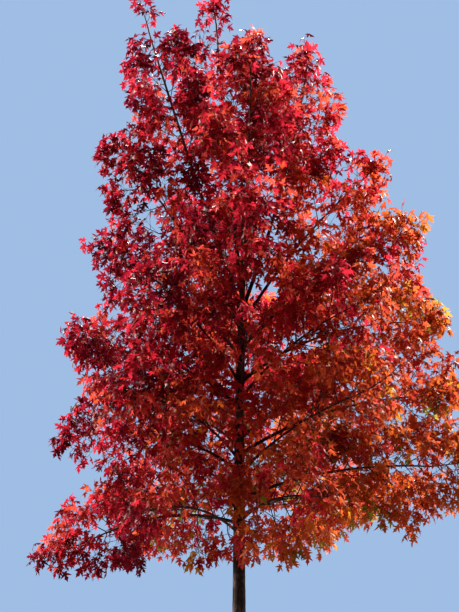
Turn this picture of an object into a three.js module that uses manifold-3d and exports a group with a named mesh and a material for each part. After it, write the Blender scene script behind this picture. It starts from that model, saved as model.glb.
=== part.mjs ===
// A young red maple in autumn leaf: a trunk, the boughs that leave it up to its fork, and a mass of foliage
// round the outer part of each bough. Millimetres, +Z up. The origin is the middle of the flat cut under the
// trunk, at ground level. Seen along +Y, with +X to the right, the crown is wider on its right side.

import * as THREE from 'three';
import { mergeVertices } from 'three/addons/utils/BufferGeometryUtils.js';
import Module from 'manifold-3d';

// The trunk, from its flat cut at the ground to the fork.
const TRUNK = {
  forkHeight: 3650,
  footRadius: 56,
  forkRadius: 29,
  taperPower: 1.15,
  flareRadius: 34, // what the root flare adds at the ground
  flareHeight: 120, // the flare fades by a factor of e over this height
  buttresses: 5, // swellings of the flare, each above a main root
  buttressDepth: 0.28, // share of the flare that comes and goes round the trunk
  lean: 45, // how far the fork stands to the right of the foot
  sway: 9, // sideways swing of the stem about its leaning line
  sides: 12,
  rings: 12,
  ringPower: 2, // above 1, rings stand closer together towards the ground
};

// The boughs, from the lowest tier to the leaders.
// from: height where the bough leaves the trunk. bearing: degrees from +X towards +Y, seen from above, so 0
// is right, 90 is away and 270 is near. reach and top: level distance and height of its foliage's far end.
// rise: degrees above level as it leaves the trunk. spread: half the width of its foliage. bare: share of its
// length before that foliage.
const BOUGHS = {
  low_left: { from: 1950, bearing: 196, reach: 1440, top: 1760, rise: 16, spread: 350, bare: 0.4 },
  low_front_left: { from: 1880, bearing: 238, reach: 1240, top: 2050, rise: 24, spread: 540, bare: 0.12 },
  low_front_right: { from: 1960, bearing: 298, reach: 1330, top: 2090, rise: 22, spread: 550, bare: 0.12 },
  low_right: { from: 2120, bearing: 350, reach: 1740, top: 2380, rise: 22, spread: 560, bare: 0.24 },
  low_back_right: { from: 2000, bearing: 48, reach: 1560, top: 2250, rise: 24, spread: 610, bare: 0.14 },
  low_back_left: { from: 2050, bearing: 132, reach: 1450, top: 2240, rise: 26, spread: 630, bare: 0.12 },
  mid_left: { from: 2320, bearing: 184, reach: 1380, top: 2680, rise: 38, spread: 510, bare: 0.2 },
  mid_front_left: { from: 2400, bearing: 226, reach: 1300, top: 2860, rise: 40, spread: 540, bare: 0.2 },
  mid_front_right: { from: 2300, bearing: 316, reach: 1440, top: 2860, rise: 34, spread: 570, bare: 0.2 },
  mid_right: { from: 2440, bearing: 4, reach: 1760, top: 3020, rise: 34, spread: 550, bare: 0.26 },
  mid_back_right: { from: 2540, bearing: 58, reach: 1500, top: 3060, rise: 38, spread: 610, bare: 0.16 },
  mid_back_left: { from: 2480, bearing: 120, reach: 1380, top: 3000, rise: 38, spread: 610, bare: 0.16 },
  high_left: { from: 2790, bearing: 176, reach: 1380, top: 3420, rise: 46, spread: 500, bare: 0.22 },
  high_front_left: { from: 2960, bearing: 228, reach: 1120, top: 3680, rise: 50, spread: 510, bare: 0.22 },
  high_front: { from: 2800, bearing: 274, reach: 1180, top: 3300, rise: 44, spread: 490, bare: 0.26 },
  high_front_right: { from: 2850, bearing: 322, reach: 1380, top: 3560, rise: 44, spread: 540, bare: 0.22 },
  high_right: { from: 2980, bearing: 12, reach: 1740, top: 3700, rise: 42, spread: 530, bare: 0.26 },
  high_back: { from: 3060, bearing: 86, reach: 1280, top: 3900, rise: 50, spread: 630, bare: 0.16 },
  shoulder_left: { from: 3180, bearing: 166, reach: 1260, top: 4300, rise: 54, spread: 500, bare: 0.24 },
  shoulder_right: { from: 3240, bearing: 354, reach: 1420, top: 4280, rise: 50, spread: 500, bare: 0.26 },
  shoulder_front: { from: 3330, bearing: 272, reach: 930, top: 4500, rise: 62, spread: 540, bare: 0.24 },
  shoulder_back: { from: 3420, bearing: 106, reach: 920, top: 4900, rise: 66, spread: 580, bare: 0.24 },
  crown_left: { from: 3400, bearing: 188, reach: 1060, top: 5080, rise: 62, spread: 450, bare: 0.34 },
  crown_right: { from: 3440, bearing: 2, reach: 1190, top: 4920, rise: 60, spread: 470, bare: 0.34 },
  leader_left: { from: 3520, bearing: 174, reach: 880, top: 6520, rise: 72, spread: 430, bare: 0.42 },
  leader_right: { from: 3560, bearing: 10, reach: 720, top: 6140, rise: 70, spread: 470, bare: 0.38 },
  leader_front: { from: 3500, bearing: 280, reach: 700, top: 5600, rise: 72, spread: 500, bare: 0.34 },
  leader_back: { from: 3580, bearing: 78, reach: 700, top: 5800, rise: 74, spread: 500, bare: 0.38 },
  leader_top: { from: 3620, bearing: 150, reach: 240, top: 6660, rise: 84, spread: 430, bare: 0.42 },
};

// The boughs whose foliage has turned to each autumn tint. All the others are crimson.
const TURNED = {
  scarlet: ['low_front_left', 'low_back_left', 'mid_front_left', 'mid_right', 'high_left', 'high_front_right',
    'high_back', 'shoulder_right', 'crown_right'],
  orange: ['low_right', 'low_back_right', 'mid_front_right', 'mid_back_right', 'high_right'],
  rust: ['low_front_right'],
};

// How every bough tapers and how its foliage fills the space round its outer part.
const LIMB = {
  rootRadius: 7, // of a bough with no length
  radiusPerLength: 0.0038, // and what each millimetre of length adds
  tipShare: 0.45, // radius at the last twig, as a share of the root's
  collarShare: 0.35, // swelling where the bough leaves the trunk, as a share of the root's radius
  collarLength: 55,
  arch: 0.5, // how far along the bough its first direction holds
  lastEntry: 0.9, // a bough gives way to its foliage at this share of its length, or before
  sides: 5,
  rings: 3,
};
const FOLIAGE = {
  depthShare: 0.95, // thickness of a mass, up and down, against its width
  overhang: 380, // how far its space runs past the end of its stem
  stemRings: 3,
  stemLines: 4, // straight lines that stand for the stem where leaves keep clear of it
  pairSpacing: 290, // between opposite pairs of twigs along the stem
  fewestPairs: 3,
  firstPair: 0.12, // share of the stem before the first pair
  lastPair: 0.86,
  pairTurn: 90, // degrees round the stem from one pair to the next
  turnStray: 20, // degrees either way that a twig strays from its turn
  twigAngle: 58, // degrees between a twig and the stem
  angleStray: 12, // degrees either way
  twigLift: 0.16, // how much a twig turns up towards the light
  twigLengths: [380, 230], // of the first pair and of one at the stem's tip
  lengthStray: 0.2, // share either way
  lengthStep: 15, // between the lengths tried
  stemTip: 12, // radius
  twigRoot: 3,
  twigTip: 6,
  shortest: 60, // twig
  leafRoom: 0.55, // left past a twig's end for its leaf, as a share of the leaf's length
  clearance: 5, // kept to the edge of the mass's space, and to limbs
  leafSpacing: 0.5, // least distance between the middles of two leaves, as a share of the newer one's length
  leafPairs: [0.7, 0.4], // where along a twig its pairs of leaves stand
  pairLean: 0.45, // how much the leaves of a pair lean towards their twig's end
  most: 17, // leaves in one mass
  tries: 24, // turns tried before a leaf is skipped
  scatter: 0.5, // how far a leaf may turn from its direction at the first try
  scatterStep: 0.2, // and what each further try adds
  roll: 72, // degrees either way about a leaf's own line
  droop: 0.2, // how much leaves hang
};

// One leaf stands for a spray, so it is larger than life. It has the three lobes of a red maple's leaf.
const LEAF = {
  sizes: [540, 440, 340], // lengths of the blade, the longest that fits is taken
  stalk: 70,
  stalkFoot: 1.3, // radius
  stalkRadius: 3,
  stalkSink: 12, // how far back from the stem's tip the stalk of its end leaf is rooted
  thickness: 7, // at the lobes
  lobes: [0.4, 0.52], // where they stand along the blade and how far out they reach, as shares of its length
  notches: [0.56, 0.25], // the same for the notches between the side lobes and the middle one
};

const JOINT_GAP = 0.3;
const CUT_MARGIN = 0.06; // added to a cut so that a faceted limb still clears its neighbour by the gap
const ENTRY_STEPS = 200; // along a bough, where its entry to its foliage's space is looked for
const BALL_SPACING = 14;
const SEED = 20261;

const BARK = { color: '#4b3a36', roughness: 0.9 };
const FOLIAGE_ROUGHNESS = 0.6;
const TINTS = { crimson: '#8d1524', scarlet: '#b3261f', rust: '#9a3b20', orange: '#c4481f' };

const wasm = await Module();
wasm.setup();

// Random numbers from 0 to 1 that repeat for the same seed.
function seededRandom(seed) {
  let state = seed >>> 0;
  return () => {
    state = (state + 0x6d2b79f5) >>> 0;
    let mixed = Math.imul(state ^ (state >>> 15), state | 1);
    mixed ^= mixed + Math.imul(mixed ^ (mixed >>> 7), mixed | 61);
    return ((mixed ^ (mixed >>> 14)) >>> 0) / 2 ** 32;
  };
}

const UP = new THREE.Vector3(0, 0, 1);
const SIN_60 = Math.sin(Math.PI / 3); // half the width of a three-sided limb of unit radius
const THREE_SIDED_DEPTH = 1.5; // of such a limb, from its flat side to the corner opposite
const { degToRad, lerp } = THREE.MathUtils;

// A level unit vector at a bearing.
function level(bearing) {
  return new THREE.Vector3(Math.cos(degToRad(bearing)), Math.sin(degToRad(bearing)), 0);
}

// Two unit vectors that make a right-handed frame with direction: one level, one as upright as it can be.
function acrossAndOver(direction) {
  const across = new THREE.Vector3().crossVectors(direction, UP);
  if (across.lengthSq() < 1e-6) across.set(0, 1, 0);
  across.normalize();
  return { across, over: new THREE.Vector3().crossVectors(across, direction).normalize() };
}

// The middle of the trunk at a height.
function trunkMiddle(height) {
  const share = height / TRUNK.forkHeight;
  const swing = TRUNK.sway * Math.sin(2 * Math.PI * share);
  return new THREE.Vector3(TRUNK.lean * share ** 2 + swing * share, -swing * (1 - share), height);
}

// The trunk's radius at a height, in a direction round it.
function trunkRadius(height, angle = 0) {
  const share = Math.min(height / TRUNK.forkHeight, 1);
  const stem = TRUNK.forkRadius + (TRUNK.footRadius - TRUNK.forkRadius) * (1 - share) ** TRUNK.taperPower;
  const wave = 1 + TRUNK.buttressDepth * Math.cos(TRUNK.buttresses * angle);
  return stem + TRUNK.flareRadius * wave * Math.exp(-height / TRUNK.flareHeight);
}

// A solid from a closed three.js geometry.
function solidOf(geometry) {
  const bare = geometry.clone();
  for (const name of ['normal', 'uv']) bare.deleteAttribute(name);
  const merged = mergeVertices(bare, 1e-3);
  return new wasm.Manifold(
    new wasm.Mesh({
      numProp: 3,
      vertProperties: merged.attributes.position.array,
      triVerts: new Uint32Array(merged.index.array),
    }),
  );
}

// The geometry of a solid.
function geometryOf(solid) {
  const { numProp, numVert, vertProperties, triVerts } = solid.getMesh();
  const positions = new Float32Array(numVert * 3);
  for (let i = 0; i < numVert; i++) {
    positions.set(vertProperties.subarray(i * numProp, i * numProp + 3), i * 3);
  }
  const geometry = new THREE.BufferGeometry();
  geometry.setAttribute('position', new THREE.BufferAttribute(positions, 3));
  geometry.setIndex(new THREE.BufferAttribute(triVerts, 1));
  return geometry.toNonIndexed();
}

// A prism of unit length and unit radius along Z, in some number of rings.
function prism(sides, rings) {
  const corners = Array.from({ length: sides }, (_, i) => {
    const angle = (2 * Math.PI * i) / sides;
    return new THREE.Vector2(Math.cos(angle), Math.sin(angle));
  });
  return new THREE.ExtrudeGeometry(new THREE.Shape(corners), { depth: 1, steps: rings, bevelEnabled: false });
}

// A limb: a prism bent along a curve and given a radius at each share of its length.
// from and to are the stretch of the curve that it covers.
function limbGeometry(curve, radiusAt, { sides, rings, from = 0, to = 1 }) {
  const geometry = prism(sides, rings);
  const position = geometry.attributes.position;
  const point = new THREE.Vector3();
  for (let i = 0; i < position.count; i++) {
    point.fromBufferAttribute(position, i);
    const share = from + (to - from) * point.z;
    const { across, over } = acrossAndOver(curve.getTangent(share));
    const radius = radiusAt(share);
    const middle = curve.getPoint(share);
    middle.addScaledVector(over, point.x * radius).addScaledVector(across, point.y * radius);
    position.setXYZ(i, middle.x, middle.y, middle.z);
  }
  return geometry;
}

// The trunk: a prism whose rings close up towards the ground, where the flare turns fast.
function trunkGeometry(more = 0) {
  const geometry = prism(TRUNK.sides, TRUNK.rings);
  const position = geometry.attributes.position;
  for (let i = 0; i < position.count; i++) {
    const height = (TRUNK.forkHeight + more) * position.getZ(i) ** TRUNK.ringPower;
    const angle = Math.atan2(position.getY(i), position.getX(i));
    const radius = trunkRadius(height, angle) + more;
    const middle = trunkMiddle(height);
    position.setXYZ(i, middle.x + radius * Math.cos(angle), middle.y + radius * Math.sin(angle), height);
  }
  return geometry;
}

// A bough's own line, its radius and the ellipsoid of the foliage round its outer part.
function planBough(name, size) {
  const start = trunkMiddle(size.from);
  const outer = level(size.bearing).multiplyScalar(size.reach).setZ(size.top);
  const end = outer.clone().addScaledVector(outer.clone().sub(start).normalize(), -FOLIAGE.overhang);
  const length = start.distanceTo(end);
  const rise = degToRad(size.rise);
  const first = level(size.bearing).multiplyScalar(Math.cos(rise)).setZ(Math.sin(rise));
  const bend = start.clone().addScaledVector(first, LIMB.arch * length);
  const curve = new THREE.QuadraticBezierCurve3(start, bend, end);
  const rootRadius = LIMB.rootRadius + LIMB.radiusPerLength * length;
  const radiusAt = (share) =>
    rootRadius * (1 - (1 - LIMB.tipShare) * share) +
    rootRadius * LIMB.collarShare * Math.exp((-share * length) / LIMB.collarLength);

  const inner = curve.getPoint(size.bare);
  const axis = outer.clone().sub(inner).normalize();
  const middle = inner.clone().lerp(outer, 0.5);
  const { across, over } = acrossAndOver(axis);
  const halves = [
    [axis, inner.distanceTo(outer) / 2],
    [across, size.spread],
    [over, size.spread * FOLIAGE.depthShare],
  ];
  return { name, curve, length, radiusAt, middle, halves, bare: size.bare };
}

// How far an ellipsoid reaches from its middle in a direction.
function reachAlong(bough, direction) {
  return Math.hypot(...bough.halves.map(([axis, half]) => half * axis.dot(direction)));
}

// The flat walls between a bough's foliage and that of every other, each midway between the two ellipsoids.
function wallsOf(bough, boughs) {
  return boughs
    .filter((other) => other !== bough)
    .map((other) => {
      const facing = other.middle.clone().sub(bough.middle);
      const distance = facing.length();
      facing.divideScalar(distance);
      return { facing, distance: (distance + reachAlong(bough, facing) - reachAlong(other, facing)) / 2 };
    });
}

// How deep a point lies in a bough's ellipsoid: 0 at its middle and 1 on its skin.
function depthIn(bough, point) {
  const from = point.clone().sub(bough.middle);
  return Math.hypot(...bough.halves.map(([axis, half]) => from.dot(axis) / half));
}

// True if a point is in a bough's space for foliage: between its walls by a margin, and inside the crown,
// which is all the ellipsoids together.
function inSpace(bough, point, margin = FOLIAGE.clearance) {
  const from = point.clone().sub(bough.middle);
  if (!bough.walls.every((wall) => from.dot(wall.facing) <= wall.distance - margin)) return false;
  return bough.crown.some((other) => depthIn(other, point) <= 1);
}

// The share of a bough's length where it enters its foliage's space and stays in it.
function entryOf(bough) {
  let entry = LIMB.lastEntry;
  for (let i = Math.round(entry * ENTRY_STEPS); i > 0; i--) {
    if (!inSpace(bough, bough.curve.getPoint(i / ENTRY_STEPS), 0)) break;
    entry = i / ENTRY_STEPS;
  }
  return Math.max(entry, bough.bare);
}

// Balls along a limb, close enough together to stand for it where foliage has to keep clear.
function ballsAlong(curve, radiusAt, length, to) {
  const count = Math.ceil((length * to) / BALL_SPACING);
  return Array.from({ length: count + 1 }, (_, i) => {
    const share = (to * i) / count;
    return { middle: curve.getPoint(share), radius: radiusAt(share) };
  });
}

// True if a triangle keeps clear of every ball.
function clearOf(balls, triangle, halfThickness) {
  const nearest = new THREE.Vector3();
  return balls.every(({ middle, radius }) => {
    triangle.closestPointToPoint(middle, nearest);
    return nearest.distanceTo(middle) > radius + halfThickness + FOLIAGE.clearance;
  });
}

// The balls that a thing of some size at a point could touch.
function ballsNear(balls, point, size) {
  return balls.filter(({ middle, radius }) => middle.distanceTo(point) < size + radius + FOLIAGE.clearance);
}

// The flat corners of a leaf's blade, from its base and unit vectors along it and across it.
function bladeCorners({ base, along, across, size }) {
  const at = (far, side) =>
    base
      .clone()
      .addScaledVector(along, far * size)
      .addScaledVector(across, side * size);
  const [[lobe, lobeOut], [notch, notchOut]] = [LEAF.lobes, LEAF.notches];
  return [base, at(lobe, lobeOut), at(notch, notchOut), at(1, 0), at(notch, -notchOut), at(lobe, -lobeOut)];
}

// The middle of a leaf's blade.
function bladeMiddle({ base, along, size }) {
  return base.clone().addScaledVector(along, size / 2);
}

// The stations that a leaf's outline is drawn out between, from the foot of its stalk or twig to its tip.
function leafStations({ foot, base, along, size, footRadius, baseRadius }) {
  const stem = base.clone().sub(foot).normalize();
  const bend = stem.clone().add(along).normalize();
  return [
    { middle: foot, heading: stem, width: footRadius * SIN_60, height: footRadius },
    { middle: base, heading: bend, width: baseRadius * SIN_60, height: baseRadius },
    ...[LEAF.lobes, LEAF.notches, [1, 0]].map(([far, out]) => ({
      middle: base.clone().addScaledVector(along, far * size),
      heading: along,
      width: out * size,
      height: LEAF.thickness / THREE_SIDED_DEPTH,
    })),
  ];
}

// A leaf with its stalk or twig: a three-sided cone whose rings are drawn out to a stalk, lobes, notches and
// a tip. Its underside is flat and a rib runs along its back.
function leafSolid(leaf) {
  const stations = leafStations(leaf);
  const last = stations.length - 1;
  const cone = new THREE.ConeGeometry(1, 1, 3, last);
  const position = cone.attributes.position;
  for (let i = 0; i < position.count; i++) {
    const station = Math.round((position.getY(i) + 0.5) * last);
    const { middle, heading, width, height } = stations[station];
    const reach = station === last ? 0 : last / (last - station);
    const back = new THREE.Vector3().crossVectors(leaf.across, heading).normalize();
    const side = new THREE.Vector3().crossVectors(heading, back);
    const point = middle
      .clone()
      .addScaledVector(side, (position.getX(i) * reach * width) / SIN_60)
      .addScaledVector(back, position.getZ(i) * reach * height);
    position.setXYZ(i, point.x, point.y, point.z);
  }
  return solidOf(cone);
}

// The flat triangles of a blade, fanned out from its base.
function bladeTriangles(corners) {
  return corners.slice(2).map((corner, i) => new THREE.Triangle(corners[0], corners[i + 1], corner));
}

// True if a straight line between two points passes through any of some triangles.
function passesThrough([from, to], triangles) {
  const direction = to.clone().sub(from);
  const length = direction.length();
  const ray = new THREE.Ray(from, direction.divideScalar(length));
  const hit = new THREE.Vector3();
  const isHit = ({ a, b, c }) => ray.intersectTriangle(a, b, c, false, hit) !== null;
  return triangles.some((triangle) => isHit(triangle) && hit.distanceTo(from) < length);
}

// The straight edges of a blade.
function bladeEdges(corners) {
  return corners.map((corner, i) => [corner, corners[(i + 1) % corners.length]]);
}

// True if a leaf lies wholly in its mass's space, clear of limbs, twigs and other leaves.
function leafFits(bough, leaf, growth) {
  const isNear = (other) => other.middle.distanceTo(leaf.middle) < FOLIAGE.leafSpacing * leaf.size;
  if (growth.leaves.some(isNear)) return false;
  if (!leaf.corners.every((point) => inSpace(bough, point))) return false;
  const triangles = bladeTriangles(leaf.corners);
  const balls = ballsNear(growth.balls, leaf.middle, leaf.size);
  if (!triangles.every((triangle) => clearOf(balls, triangle, LEAF.thickness))) return false;
  const isPierced = (twig) => twig !== leaf.twig && passesThrough([twig.from, twig.end], triangles);
  if (growth.twigs.some(isPierced)) return false;
  const edges = [...bladeEdges(leaf.corners), [leaf.foot, leaf.base]];
  return !growth.leaves.some(
    (other) =>
      edges.some((edge) => passesThrough(edge, other.triangles)) ||
      [...bladeEdges(other.corners), [other.foot, other.base]].some((edge) => passesThrough(edge, triangles)),
  );
}

// A number from -most to most.
function stray(random, most) {
  return (2 * random() - 1) * most;
}

// A leaf of some size near a direction. Its stalk rises from foot, unless it ends its twig.
function turnedLeaf({ twig, foot, direction, droop }, size, scatter, random) {
  const along = direction
    .clone()
    .add(new THREE.Vector3(stray(random, scatter), stray(random, scatter), stray(random, scatter)))
    .addScaledVector(UP, -droop)
    .normalize();
  const { across, over } = acrossAndOver(along);
  const roll = degToRad(stray(random, FOLIAGE.roll));
  across.multiplyScalar(Math.cos(roll)).addScaledVector(over, Math.sin(roll));
  const base = foot ? foot.clone().addScaledVector(along, LEAF.stalk) : twig.end;
  const leaf = { twig, foot: foot ?? twig.from, base, along, across, size };
  return { ...leaf, corners: bladeCorners(leaf), middle: bladeMiddle(leaf) };
}

// Adds the longest leaf that fits at a place, turned as little as it can be. Returns null if none fits.
function addLeaf(bough, place, growth) {
  if (growth.leaves.length >= FOLIAGE.most) return null;
  for (const size of LEAF.sizes) {
    for (let i = 0; i < FOLIAGE.tries; i++) {
      const scatter = (FOLIAGE.scatter + FOLIAGE.scatterStep * i) / 2;
      const leaf = turnedLeaf(place, size, scatter, growth.random);
      if (!leafFits(bough, leaf, growth)) continue;
      leaf.triangles = bladeTriangles(leaf.corners);
      growth.leaves.push(leaf);
      return leaf;
    }
  }
  return null;
}

// The furthest end of a twig from a point in a direction that keeps it in its space and clear of limbs.
function twigEnd(bough, from, direction, longest, balls) {
  const near = ballsNear(balls, from, longest);
  let end = null;
  for (let far = FOLIAGE.shortest; far <= longest; far += FOLIAGE.lengthStep) {
    const point = from.clone().addScaledVector(direction, far);
    const leafTip = point.clone().addScaledVector(direction, LEAF.sizes[0] * FOLIAGE.leafRoom);
    if (!inSpace(bough, leafTip)) break;
    if (!clearOf(near, new THREE.Triangle(from, point, point), FOLIAGE.twigRoot)) break;
    end = point;
  }
  return end;
}

// The direction of a twig that leaves a stem: turned round it by turn, and away from it by the twig angle.
function twigDirection(tangent, turn, random) {
  const { across, over } = acrossAndOver(tangent);
  const out = across.multiplyScalar(Math.cos(turn)).addScaledVector(over, Math.sin(turn));
  const angle = degToRad(FOLIAGE.twigAngle + stray(random, FOLIAGE.angleStray));
  return tangent
    .clone()
    .multiplyScalar(Math.cos(angle))
    .addScaledVector(out, Math.sin(angle))
    .addScaledVector(UP, FOLIAGE.twigLift)
    .normalize();
}

// The twigs of a mass: opposite pairs along its stem, each pair turned round it from the last.
function planTwigs(bough, balls, random) {
  const twigs = [];
  const firstTurn = random() * Math.PI;
  const stemLength = bough.length * (1 - bough.entry);
  const pairs = Math.max(FOLIAGE.fewestPairs, Math.round(stemLength / FOLIAGE.pairSpacing));
  for (let pair = 0; pair < pairs; pair++) {
    const share = lerp(FOLIAGE.firstPair, FOLIAGE.lastPair, pair / (pairs - 1));
    const along = lerp(bough.entry, 1, share);
    const from = bough.curve.getPoint(along);
    for (const opposite of [0, Math.PI]) {
      const pairTurn = firstTurn + degToRad(pair * FOLIAGE.pairTurn) + opposite;
      const turn = pairTurn + degToRad(stray(random, FOLIAGE.turnStray));
      const direction = twigDirection(bough.curve.getTangent(along), turn, random);
      const longest = lerp(...FOLIAGE.twigLengths, share) * (1 + stray(random, FOLIAGE.lengthStray));
      const end = twigEnd(bough, from, direction, longest, balls);
      if (end) twigs.push({ from, end, direction });
    }
  }
  return twigs;
}

// The straight lines that stand for a mass's stem.
function stemLinesOf(bough) {
  const pointAt = (i) => bough.curve.getPoint(lerp(bough.entry, 1, i / FOLIAGE.stemLines));
  return Array.from({ length: FOLIAGE.stemLines }, (_, i) => ({ from: pointAt(i), end: pointAt(i + 1) }));
}

// The places for the pairs of leaves along a twig, facing across and over it by turns.
function pairPlaces(twig, pair) {
  const { across, over } = acrossAndOver(twig.direction);
  const foot = twig.from.clone().lerp(twig.end, FOLIAGE.leafPairs[pair]);
  return [1, -1].map((hand) => {
    const facing = (pair % 2 === 0 ? across : over).clone().multiplyScalar(hand);
    const direction = facing.addScaledVector(twig.direction, FOLIAGE.pairLean);
    return { twig, foot, direction, droop: FOLIAGE.droop };
  });
}

// The leaves of a mass: one at its stem's tip, one at the end of each twig, then pairs along the twigs.
function growLeaves(bough, twigs, growth) {
  const stalk = { footRadius: LEAF.stalkFoot, baseRadius: LEAF.stalkRadius };
  const branch = { footRadius: FOLIAGE.twigRoot, baseRadius: FOLIAGE.twigTip };
  const solids = [];
  const grow = (place, radii) => {
    const leaf = addLeaf(bough, place, growth);
    if (leaf) solids.push(leafSolid({ ...leaf, ...radii }));
    return leaf !== null;
  };

  const foot = bough.curve.getPoint(1 - LEAF.stalkSink / bough.length);
  grow({ foot, direction: bough.curve.getTangent(1), droop: 0 }, stalk);
  const endOf = (twig) => ({ twig, direction: twig.direction, droop: FOLIAGE.droop });
  const bearing = twigs.filter((twig) => grow(endOf(twig), branch));
  for (const pair of FOLIAGE.leafPairs.keys()) {
    for (const twig of bearing) pairPlaces(twig, pair).forEach((place) => grow(place, stalk));
  }
  return solids;
}

// A mass of foliage: a stem that goes on from its bough, with twigs and leaves fused on.
function growMass(bough, balls, random) {
  const twigs = planTwigs(bough, balls, random);
  const growth = { random, balls, twigs: [...twigs, ...stemLinesOf(bough)], leaves: [] };
  const leaves = growLeaves(bough, twigs, growth);
  const stemRange = { from: bough.entry + JOINT_GAP / bough.length, to: 1 };
  const stemRadius = (share) => Math.max(bough.radiusAt(share), FOLIAGE.stemTip);
  const stem = limbGeometry(bough.curve, stemRadius, { sides: 3, rings: FOLIAGE.stemRings, ...stemRange });
  return fusedGeometry([solidOf(stem), ...leaves]);
}

// The largest piece of a solid, with any hollow that fusing sealed in it filled and loose scraps left out.
function largestPiece(solid) {
  return solid.decompose().reduce((best, piece) => (piece.volume() > best.volume() ? piece : best));
}

// True if every edge of a solid's skin, with its corners rounded to a micron, joins just two faces.
function isSound(geometry) {
  const position = geometry.attributes.position;
  const microns = (length) => Math.round(length * 1000);
  const corner = (i) => [position.getX(i), position.getY(i), position.getZ(i)].map(microns).join();
  const edges = new Set();
  for (let i = 0; i < position.count; i += 3) {
    const face = [corner(i), corner(i + 1), corner(i + 2)];
    if (new Set(face).size < 3) continue;
    for (let k = 0; k < 3; k++) {
      const edge = `${face[k]} ${face[(k + 1) % 3]}`;
      if (edges.has(edge)) return false;
      edges.add(edge);
    }
  }
  return [...edges].every((edge) => edges.has(edge.split(' ').reverse().join(' ')));
}

// Solids fused into one. If two of their faces only just touch, the newest solids are left out until none do.
function fusedGeometry(solids) {
  for (let count = solids.length; count > 1; count--) {
    const fused = largestPiece(wasm.Manifold.union(solids.slice(0, count)));
    const geometry = geometryOf(largestPiece(solidOf(geometryOf(fused))));
    if (isSound(geometry)) return geometry;
  }
  throw new Error('a mass of foliage has no sound form');
}

// A bough from the middle of the trunk to its foliage, or a little more all round.
function boughGeometry(bough, more = 0) {
  const radiusAt = (share) => bough.radiusAt(share) + more;
  return limbGeometry(bough.curve, radiusAt, { sides: LIMB.sides, rings: LIMB.rings, to: bough.entry });
}

// A bough cut where it meets the trunk and the boughs already in place.
function boughSolid(bough, cutters) {
  return largestPiece(cutters.reduce((left, cutter) => left.subtract(cutter), solidOf(boughGeometry(bough))));
}

// The autumn tint of a bough's foliage.
function tintOf(name) {
  const turned = Object.keys(TURNED).find((tint) => TURNED[tint].includes(name));
  return { color: TINTS[turned ?? 'crimson'], roughness: FOLIAGE_ROUGHNESS };
}

// A named mesh with a material of its own.
function meshOf(name, geometry, finish) {
  const mesh = new THREE.Mesh(geometry, new THREE.MeshStandardMaterial({ ...finish, metalness: 0 }));
  mesh.name = name;
  return mesh;
}

// The boughs with the walls and the entry of the space that each one's foliage keeps to.
function planBoughs() {
  const boughs = Object.entries(BOUGHS).map(([name, size]) => planBough(name, size));
  for (const bough of boughs) bough.walls = wallsOf(bough, boughs);
  for (const bough of boughs) bough.crown = [bough, ...boughs.filter((other) => other !== bough)];
  for (const bough of boughs) bough.entry = entryOf(bough);
  return boughs;
}

// Balls that stand for the trunk and every bare bough.
function limbBalls(boughs) {
  const trunkLine = { getPoint: (share) => trunkMiddle(share * TRUNK.forkHeight) };
  const radiusAt = (share) => trunkRadius(share * TRUNK.forkHeight);
  return [
    ...ballsAlong(trunkLine, radiusAt, TRUNK.forkHeight, 1),
    ...boughs.flatMap((bough) => ballsAlong(bough.curve, bough.radiusAt, bough.length, bough.entry)),
  ];
}

// The whole tree.
function redMaple() {
  const tree = new THREE.Group();
  tree.name = 'red_maple';
  tree.add(meshOf('trunk', trunkGeometry(), BARK));

  const boughs = planBoughs();
  const balls = limbBalls(boughs);
  const more = JOINT_GAP + CUT_MARGIN;
  const cutters = [solidOf(trunkGeometry(more))];
  boughs.forEach((bough, i) => {
    tree.add(meshOf(`bough_${bough.name}`, geometryOf(boughSolid(bough, cutters)), BARK));
    cutters.push(solidOf(boughGeometry(bough, more)));
    const tip = bough.curve.getPoint(bough.entry);
    const otherBalls = balls.filter(({ middle }) => middle.distanceTo(tip) > 1);
    const mass = growMass(bough, otherBalls, seededRandom(SEED + i));
    tree.add(meshOf(`foliage_${bough.name}`, mass, tintOf(bough.name)));
  });
  return tree;
}

export default redMaple();
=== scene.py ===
"""A young red maple in autumn leaf.

The trunk and boughs are dressed in bark with relief. Every mass of foliage becomes stems, twigs and lobed
leaves that grow on from its bough by one seeded rule, each in the space that the mass keeps to. Sizes are in
metres, with +Z up and the origin in the middle of the flat cut under the trunk.
"""

import logging
import math
from dataclasses import dataclass, field
from enum import Enum
from typing import Callable, Iterable

import bmesh
import bpy
import numpy as np
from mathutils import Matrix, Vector, noise


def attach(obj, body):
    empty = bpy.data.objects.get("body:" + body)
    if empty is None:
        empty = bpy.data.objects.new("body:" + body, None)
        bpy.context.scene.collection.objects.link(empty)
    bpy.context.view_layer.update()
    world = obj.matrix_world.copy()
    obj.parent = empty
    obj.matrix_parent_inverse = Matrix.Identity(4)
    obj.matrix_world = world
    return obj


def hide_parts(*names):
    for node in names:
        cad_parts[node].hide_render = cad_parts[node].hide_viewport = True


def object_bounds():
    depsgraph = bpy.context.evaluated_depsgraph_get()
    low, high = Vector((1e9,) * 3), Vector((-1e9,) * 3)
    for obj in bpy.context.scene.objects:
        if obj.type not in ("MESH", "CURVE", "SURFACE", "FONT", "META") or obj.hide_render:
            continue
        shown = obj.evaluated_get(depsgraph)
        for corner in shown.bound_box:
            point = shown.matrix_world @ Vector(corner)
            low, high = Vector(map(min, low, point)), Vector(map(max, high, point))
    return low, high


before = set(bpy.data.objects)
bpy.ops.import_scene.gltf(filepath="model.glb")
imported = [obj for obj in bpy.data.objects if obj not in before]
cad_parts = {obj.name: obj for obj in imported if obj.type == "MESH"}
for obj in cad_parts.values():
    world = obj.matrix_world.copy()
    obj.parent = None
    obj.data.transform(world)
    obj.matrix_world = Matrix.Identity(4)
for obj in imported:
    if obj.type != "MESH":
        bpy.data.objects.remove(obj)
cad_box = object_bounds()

UP = np.array([0.0, 0.0, 1.0])
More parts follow.
